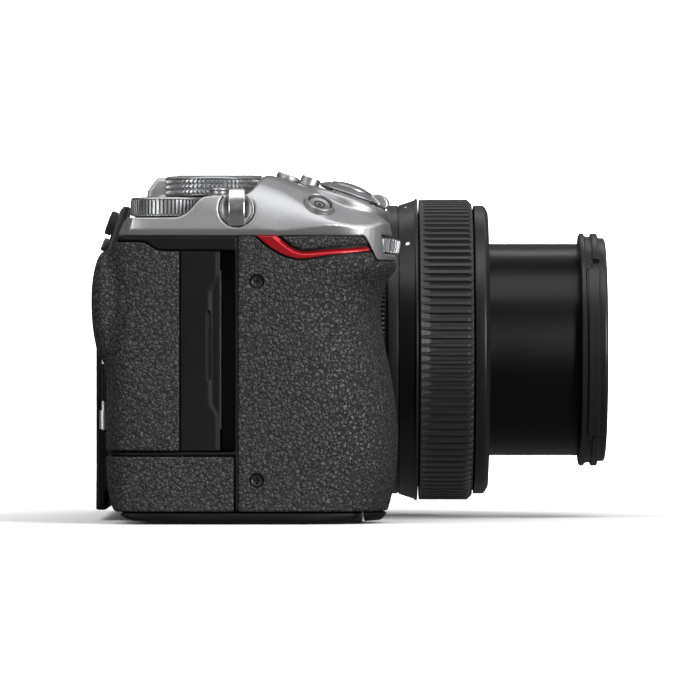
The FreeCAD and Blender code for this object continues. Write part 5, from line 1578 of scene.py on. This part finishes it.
# ==================================================== screen, shoe and other fittings
def rbox(name, lo, hi, r=0.3, seg=3, cuts=()):
    """Block with rounded edges."""
    bm = bmesh.new()
    bmesh.ops.create_cube(bm, size=1.0)
    lo, hi = np.array(lo, float), np.array(hi, float)
    for v in bm.verts:
        v.co = Vector(((lo + hi) / 2 + (hi - lo) * np.array(v.co)) * MM)
    if r:
        bmesh.ops.bevel(bm, geom=bm.edges[:], offset=r * MM, segments=seg, profile=0.5, affect="EDGES")
    me = bpy.data.meshes.new(name)
    bm.to_mesh(me)
    bm.free()
    for p in me.polygons:
        p.use_smooth = True
    me.set_sharp_from_angle(angle=math.radians(40))
    return bpy.data.objects.new(name, me)


def screen_slab(x, y, z):
    f = rmax(slab(x, -31.6, -27.0), np.maximum(slab(y, -38.0, 42.0), slab(z, 6.2, 55.2)), 0.45)
    lip = rmax(slab(x, -31.6, -29.2), np.maximum(slab(y, -38.0, 42.0), slab(z, 2.0, 8.0)), 0.45)
    f = np.minimum(f, lip)
    # seam between the front and back halves of the housing
    f = less(f, np.maximum(slab(x, -29.55, -29.25), np.maximum(-(slab(y, -37.6, 41.6)), -(slab(z, 6.6, 54.8)))), 0.05)
    # finger scoop and slots on the near end
    f = less(f, np.maximum(np.hypot(y + 40.2, x + 27.0) - 3.6, slab(z, 27.5, 34.6)), 0.3)
    for z0, z1 in ((37.9, 40.8), (20.1, 26.9)):
        f = less(f, bx(x, y, z, (-30.75, -39.0, z0), (-29.9, -37.3, z1), 0.15), 0.08)
    for a, b in ((-24.0, -18.0), (22.0, 28.0)):
        f = less(f, bx(x, y, z, (-33, a - 0.3, 49.3), (-25, b + 0.3, 57.0), 0.0), 0.1)
    f = np.maximum(f, -bx(x, y, z, (-33, -36.0, 8.0), (-31.0, 40.0, 52.0), 0.5))
    f = np.maximum(f, -bx(x, y, z, (-29.8, -35.0, 9.0), (-28.0, 39.0, 48.0), 0.3))
    # slim ribs on the back of the slab
    rib = np.maximum(np.abs(tri(y / 3.0)) - 0.55, slab(z, 12.0, 20.0)) * 0.4
    f = less(f, np.maximum(np.maximum(rib, slab(y, -20.0, 24.0)), -27.25 - x), 0.0)
    pin = np.maximum(np.hypot(x + 30.6, z - 54.2) - 0.68, slab(y, -27.0, 31.0))
    return np.maximum(f, -pin)


piece("screen_housing", screen_slab, (-31.8, -38.2, 1.8), (-26.8, 42.2, 55.4), 0.42, "screen", "black_plastic",
      ("screen_frame",), "black_plastic")
add(rbox("screen_pane", (-31.4, -35.9, 8.1), (-31.0, 39.9, 51.9), 0.12, 2), "screen", "screen", ("screen_glass",), "screen_glass")
# thin printed border lines just inside the pane's edge, bare of any text
for k, (y0, y1, z0, z1) in enumerate(((-35.2, 39.2, 51.05, 51.15), (-35.2, 39.2, 8.85, 8.95))):
    add(rbox("pane_line%d" % k, (-31.43, y0, z0), (-31.38, y1, z1), 0.01, 1), "screen", "grey_mark")


def shoe(x, y, z):
    f = rmax(slab(x, -14.4, 5.3), np.maximum(slab(y, -10.6, 10.6), slab(z, 71.4, 72.4)), 0.15)
    for s in (-1, 1):
        ys = y * s
        wall = rmax(slab(x, -14.4, 4.6), np.maximum(slab(ys, 9.35, 10.6), slab(z, 71.4, 76.0)), 0.2)
        lip = rmax(slab(x, -14.4, 4.6), np.maximum(slab(ys, 6.25, 10.6), slab(z, 74.5, 76.0)), 0.25)
        f = rmin(f, rmin(wall, lip, 0.25), 0.15)
    f = rmin(f, rmax(slab(x, 4.6, 5.3), np.maximum(slab(y, -10.6, 10.6), slab(z, 71.4, 74.6)), 0.15), 0.15)
    # screw seats and the contact window
    for sx, sy in ((-11.0, -3.9), (-11.0, 3.9), (1.9, -3.9), (1.9, 3.9)):
        f = less(f, np.maximum(np.hypot(x - sx, y - sy) - 1.15, slab(z, 72.1, 74)), 0.05)
    f = less(f, bx(x, y, z, (-8.5, -5.4, 72.05), (-0.5, 5.4, 74), 0.4), 0.06)
    return f


piece("shoe_frame", shoe, (-14.6, -10.8, 71.2), (5.5, 10.8, 76.2), 0.26, "camera", "steel", ("hot_shoe",), "steel")
pads = []
for i, (px, py) in enumerate(((-4.5, 0.0), (-6.8, 2.9), (-3.2, 2.9), (-6.8, -2.9), (-3.2, -2.9))):
    r = 1.1 if i == 0 else 0.62
    pads.append(turned("p", [(0, 72.0), (r, 72.0), (r, 72.2), (r - 0.1, 72.27), (0, 72.27)], place_z(px, py), 28))
join("shoe_contacts", pads, "camera", "brass")
add(rbox("shoe_insert", (-8.45, -5.35, 71.9), (-0.55, 5.35, 72.12), 0.08, 1), "camera", "deep")
heads = []
for sx, sy in ((-11.0, -3.9), (-11.0, 3.9), (1.9, -3.9), (1.9, 3.9)):
    heads.append(turned("h", [(0, 71.9), (1.08, 71.9), (1.08, 72.25), (0.9, 72.4), (0.3, 72.42), (0.26, 72.2), (0, 72.2)], place_z(sx, sy), 28))
join("shoe_screws", heads, "camera", "black_steel")


def battery_lid(x, y, z):
    f = rmax(slab(x, 1.3, 26.7), np.maximum(slab(y, -67.7, -47.2), slab(z, 0.15, 2.1)), 0.3)
    roll = np.maximum(np.hypot(y + 47.2, z - 1.15) - 0.95, slab(x, 1.3, 26.7))
    f = np.minimum(f, roll)
    f = less(f, bx(x, y, z, (9.0, -66.8, -1), (19.0, -60.0, 1.1), 0.3), 0.1)
    # a shallow groove inside the edge
    rim = np.abs(np.maximum(slab(x, 2.6, 25.4), slab(y, -66.9, -49.4))) - 0.16
    f = less(f, np.maximum(rim, z - 0.38), 0.05)
    return f


piece("battery_lid", battery_lid, (1.1, -67.9, 0.0), (26.9, -46.1, 2.3), 0.26, "bay_door", "black_plastic",
      ("battery_door",), "black_plastic")


def latch_bar(x, y, z):
    f = rmax(slab(x, 9.5, 18.5), np.maximum(slab(y, -65.0, -61.0), slab(z, 0.2, 1.05)), 0.2)
    for k in range(5):
        c = 12.2 + k * 0.9
        f = np.minimum(f, rmax(slab(x, c - 0.22, c + 0.22), np.maximum(slab(y, -64.2, -61.8), slab(z, 0.06, 0.4)), 0.1))
    return f


piece("lid_latch", latch_bar, (9.3, -65.2, 0.0), (18.7, -60.8, 1.2), 0.16, "latch", "dark_plastic", ("battery_latch",), "black_plastic")


def flap(x, y, z):
    f = rmax(slab(x, -21.0, -4.0), np.maximum(slab(y, 52.4, 53.9), slab(z, 30.0, 54.0)), 0.35)
    roll = np.maximum(np.hypot(x + 3.4, y - 53.2) - 0.7, slab(z, 30.0, 54.0))
    web = np.maximum(slab(x, -4.1, -3.4), np.maximum(slab(y, 52.5, 53.9), slab(z, 30.0, 54.0)))
    f = np.minimum(f, np.minimum(roll, web))
    rim = np.abs(rmax(slab(x, -19.9, -5.1), slab(z, 31.1, 52.9), 0.8)) - 0.14
    f = less(f, np.maximum(rim, 53.7 - y), 0.04)
    # finger notch at the rear edge
    return less(f, np.maximum(np.hypot(x + 21.6, z - 42.0) - 1.6, 52.9 - y), 0.2)


piece("port_flap", flap, (-21.2, 52.2, 29.8), (-2.5, 54.1, 54.2), 0.24, "ports", "rubber", ("port_cover",), "rubber")


def bayonet_ring(x, y, z):
    r = np.hypot(y, z - LZ)
    f = rmax(np.maximum(r - 28.9, 23.5 - r), slab(x, 14.05, 17.8), 0.35)
    f = less(f, np.maximum(np.abs(r - 25.0) - 0.12, 17.62 - x), 0.04)
    for d in (45, 135, 225, 315):
        a = math.radians(d)
        q = np.hypot(y - 26.4 * math.cos(a), z - LZ - 26.4 * math.sin(a))
        f = np.maximum(f, -np.maximum(q - 1.45, 16.9 - x))
        f = np.maximum(f, -np.maximum(q - 0.85, 13 - x))
    return f


piece("mount_face", bayonet_ring, (13.9, -29.1, 8.0), (18.0, 29.1, 66.2), 0.36, "camera", "steel", ("mount_ring",), "steel")

# release button of the lens, with a shallow dish
RELB = frame_of((15.5, 35.5, 27.0), (1, 0, 0), (0, 0, 1))
add(turned("lens_release_cap", soft([(0, -5.1), (1.3, -5.1), (1.3, 0.0), (3.05, 0.0), (3.05, 3.0), (2.85, 3.25), (2.2, 3.15), (1.0, 2.95), (0, 2.92)], 0.1, 2),
           RELB, 72, sharp=45), "lens_release", "black_steel", ("lens_button",), "black_plastic")

# plain tick marks on the mode dial's top, no lettering
ticks = []
for k in range(12):
    a = k / 12 * 2 * PI
    p = np.array(MODE[0]) + np.array((math.cos(a), math.sin(a), 0)) * 8.2 + np.array((0, 0, 4.31))
    L = 1.5 if k % 3 == 0 else 0.9
    ticks.append(turned("t", [(0, -0.03), (0.17 if k % 3 else 0.26, -0.03), (0.17 if k % 3 else 0.26, 0.05), (0, 0.05)], frame_of(p, (0, 0, 1)), 16))
join("dial_ticks", ticks, "mode", "black_mark")


def numeral(n):
    """Strokes of a plain digit on a unit cell."""
    S = {1: [((.5, 0), (.5, 1))],
         2: [((.1, 1), (.9, 1)), ((.9, 1), (.9, .5)), ((.9, .5), (.1, .5)), ((.1, .5), (.1, 0)), ((.1, 0), (.9, 0))],
         3: [((.1, 1), (.9, 1)), ((.9, 1), (.9, 0)), ((.1, .5), (.9, .5)), ((.1, 0), (.9, 0))],
         4: [((.1, 1), (.1, .5)), ((.1, .5), (.9, .5)), ((.9, 1), (.9, 0))]}
    return S[n]


strokes = []
for k, n in enumerate((1, 2, 3, 4)):
    a = PI / 4 + k * PI / 2
    c = np.array(MODE[0]) + np.array((math.cos(a), math.sin(a), 0)) * 6.6 + np.array((0, 0, 4.31))
    tx = np.array((-math.sin(a), math.cos(a), 0)) * -1.0
    ty = np.array((math.cos(a), math.sin(a), 0))
    for (x0, y0), (x1, y1) in numeral(n):
        p = c + tx * (x0 - .5) * 1.1 + ty * (y0 - .5) * 1.7
        q = c + tx * (x1 - .5) * 1.1 + ty * (y1 - .5) * 1.7
        d = q - p
        ln = np.linalg.norm(d)
        d = d / ln
        s = np.cross((0, 0, 1), d)
        w = 0.1
        V = [p - d * w - s * w, q + d * w - s * w, q + d * w + s * w, p - d * w + s * w]
        V = [v + np.array((0, 0, -0.03)) for v in V] + [v + np.array((0, 0, 0.05)) for v in V]
        Q = [(3, 2, 1, 0), (4, 5, 6, 7), (0, 1, 5, 4), (1, 2, 6, 5), (2, 3, 7, 6), (3, 0, 4, 7)]
        strokes.append(mesh_of("s", V, Q, False))
join("dial_numbers", strokes, "mode", "black_mark")

# ================================================ materials of the carried-over nodes
SLOTS = {"silver_paint": "silver", "silver_knob": "knob", "chrome": "chrome", "steel": "steel",
         "black_steel": "black_steel", "leatherette": "leather", "red_anodised": "red",
         "black_plastic": "black_plastic", "dark_plastic": "dark_plastic", "rubber": "rubber",
         "screen_glass": "screen", "magnesium": "magnesium", "board": "board",
         "lens_black": "lens_black", "brass": "brass", "lens_glass": "inner_glass"}
for name in frame:
    o = bpy.data.objects.get(name)
    if o is None or o.type != "MESH":
        continue
    for s in o.material_slots:
        key = s.material.name.split(".")[0] if s.material else "black_plastic"
        if name == "door_carrier":
            s.material = mat("black_steel")
        elif key in SLOTS:
            s.material = mat(SLOTS[key])


# ======================================================================== the set
def cyclorama():
    """Floor that curves up into a backdrop."""
    z0 = BOX0[0][2] / MM
    prof = [(-900.0, z0), (700.0, z0)]
    R = 350.0
    for i in range(1, 13):
        t = i / 12 * PI / 2
        prof.append((700 + R * math.sin(t), z0 + R - R * math.cos(t)))
    prof.append((1050.0, 480.0))
    xs = np.linspace(-1600, 1650, 14)
    V = [(x, y, z) for y, z in prof for x in xs]
    n = len(xs)
    Q = [(i * n + j, i * n + j + 1, (i + 1) * n + j + 1, (i + 1) * n + j)
         for i in range(len(prof) - 1) for j in range(n - 1)]
    o = mesh_of("floor", V, Q)
    scene.collection.objects.link(o)
    o.data.materials.append(mat("backdrop"))
    o.visible_glossy = False         # a set piece only: it leaves no mirror band on the metal
    o.visible_diffuse = False


cyclorama()
area("top", (0.03, -0.24, 0.82), (0.03, 0.0, 0.03), 1.7, 0.5, 8.5)
area("right", (0.95, -1.02, 0.26), (0.02, -0.05, 0.04), 0.34, 0.7, 24)
area("left", (-0.85, -1.02, 0.26), (0.0, -0.05, 0.04), 0.26, 0.6, 6)
area("back", (0.0, 0.50, 0.62), (0.0, 0.95, 0.15), 1.8, 0.5, 30)
area("wash", (0.02, -1.02, 0.50), (0.02, -1.02, 0.0), 1.7, 0.8, 24).data.spread = math.radians(75)


def studio_world():
    """Dim surroundings: a pale low band, dark at eye level."""
    w = bpy.data.worlds.new("studio")
    scene.world = w
    w.use_nodes = True
    t = w.node_tree
    bg = t.nodes["Background"]
    tc = t.nodes.new("ShaderNodeTexCoord")
    sp = t.nodes.new("ShaderNodeSeparateXYZ")
    mr = t.nodes.new("ShaderNodeMapRange")
    rp = t.nodes.new("ShaderNodeValToRGB")
    mr.inputs[1].default_value = -1.0
    mr.inputs[2].default_value = 1.0
    t.links.new(tc.outputs["Generated"], sp.inputs[0])
    t.links.new(sp.outputs[2], mr.inputs[0])
    t.links.new(mr.outputs[0], rp.inputs[0])
    stops = [(0.0, 0.20), (0.25, 0.16), (0.38, 0.08), (0.47, 0.05), (0.60, 0.16), (0.75, 0.16), (1.0, 0.10)]
    el = rp.color_ramp.elements
    while len(el) < len(stops):
        el.new(0.5)
    for e, (p, c) in zip(el, stops):
        e.position = p
        e.color = (c, c, c, 1)
    t.links.new(rp.outputs[0], bg.inputs[0])


studio_world()
scene.view_settings.view_transform = "Standard"
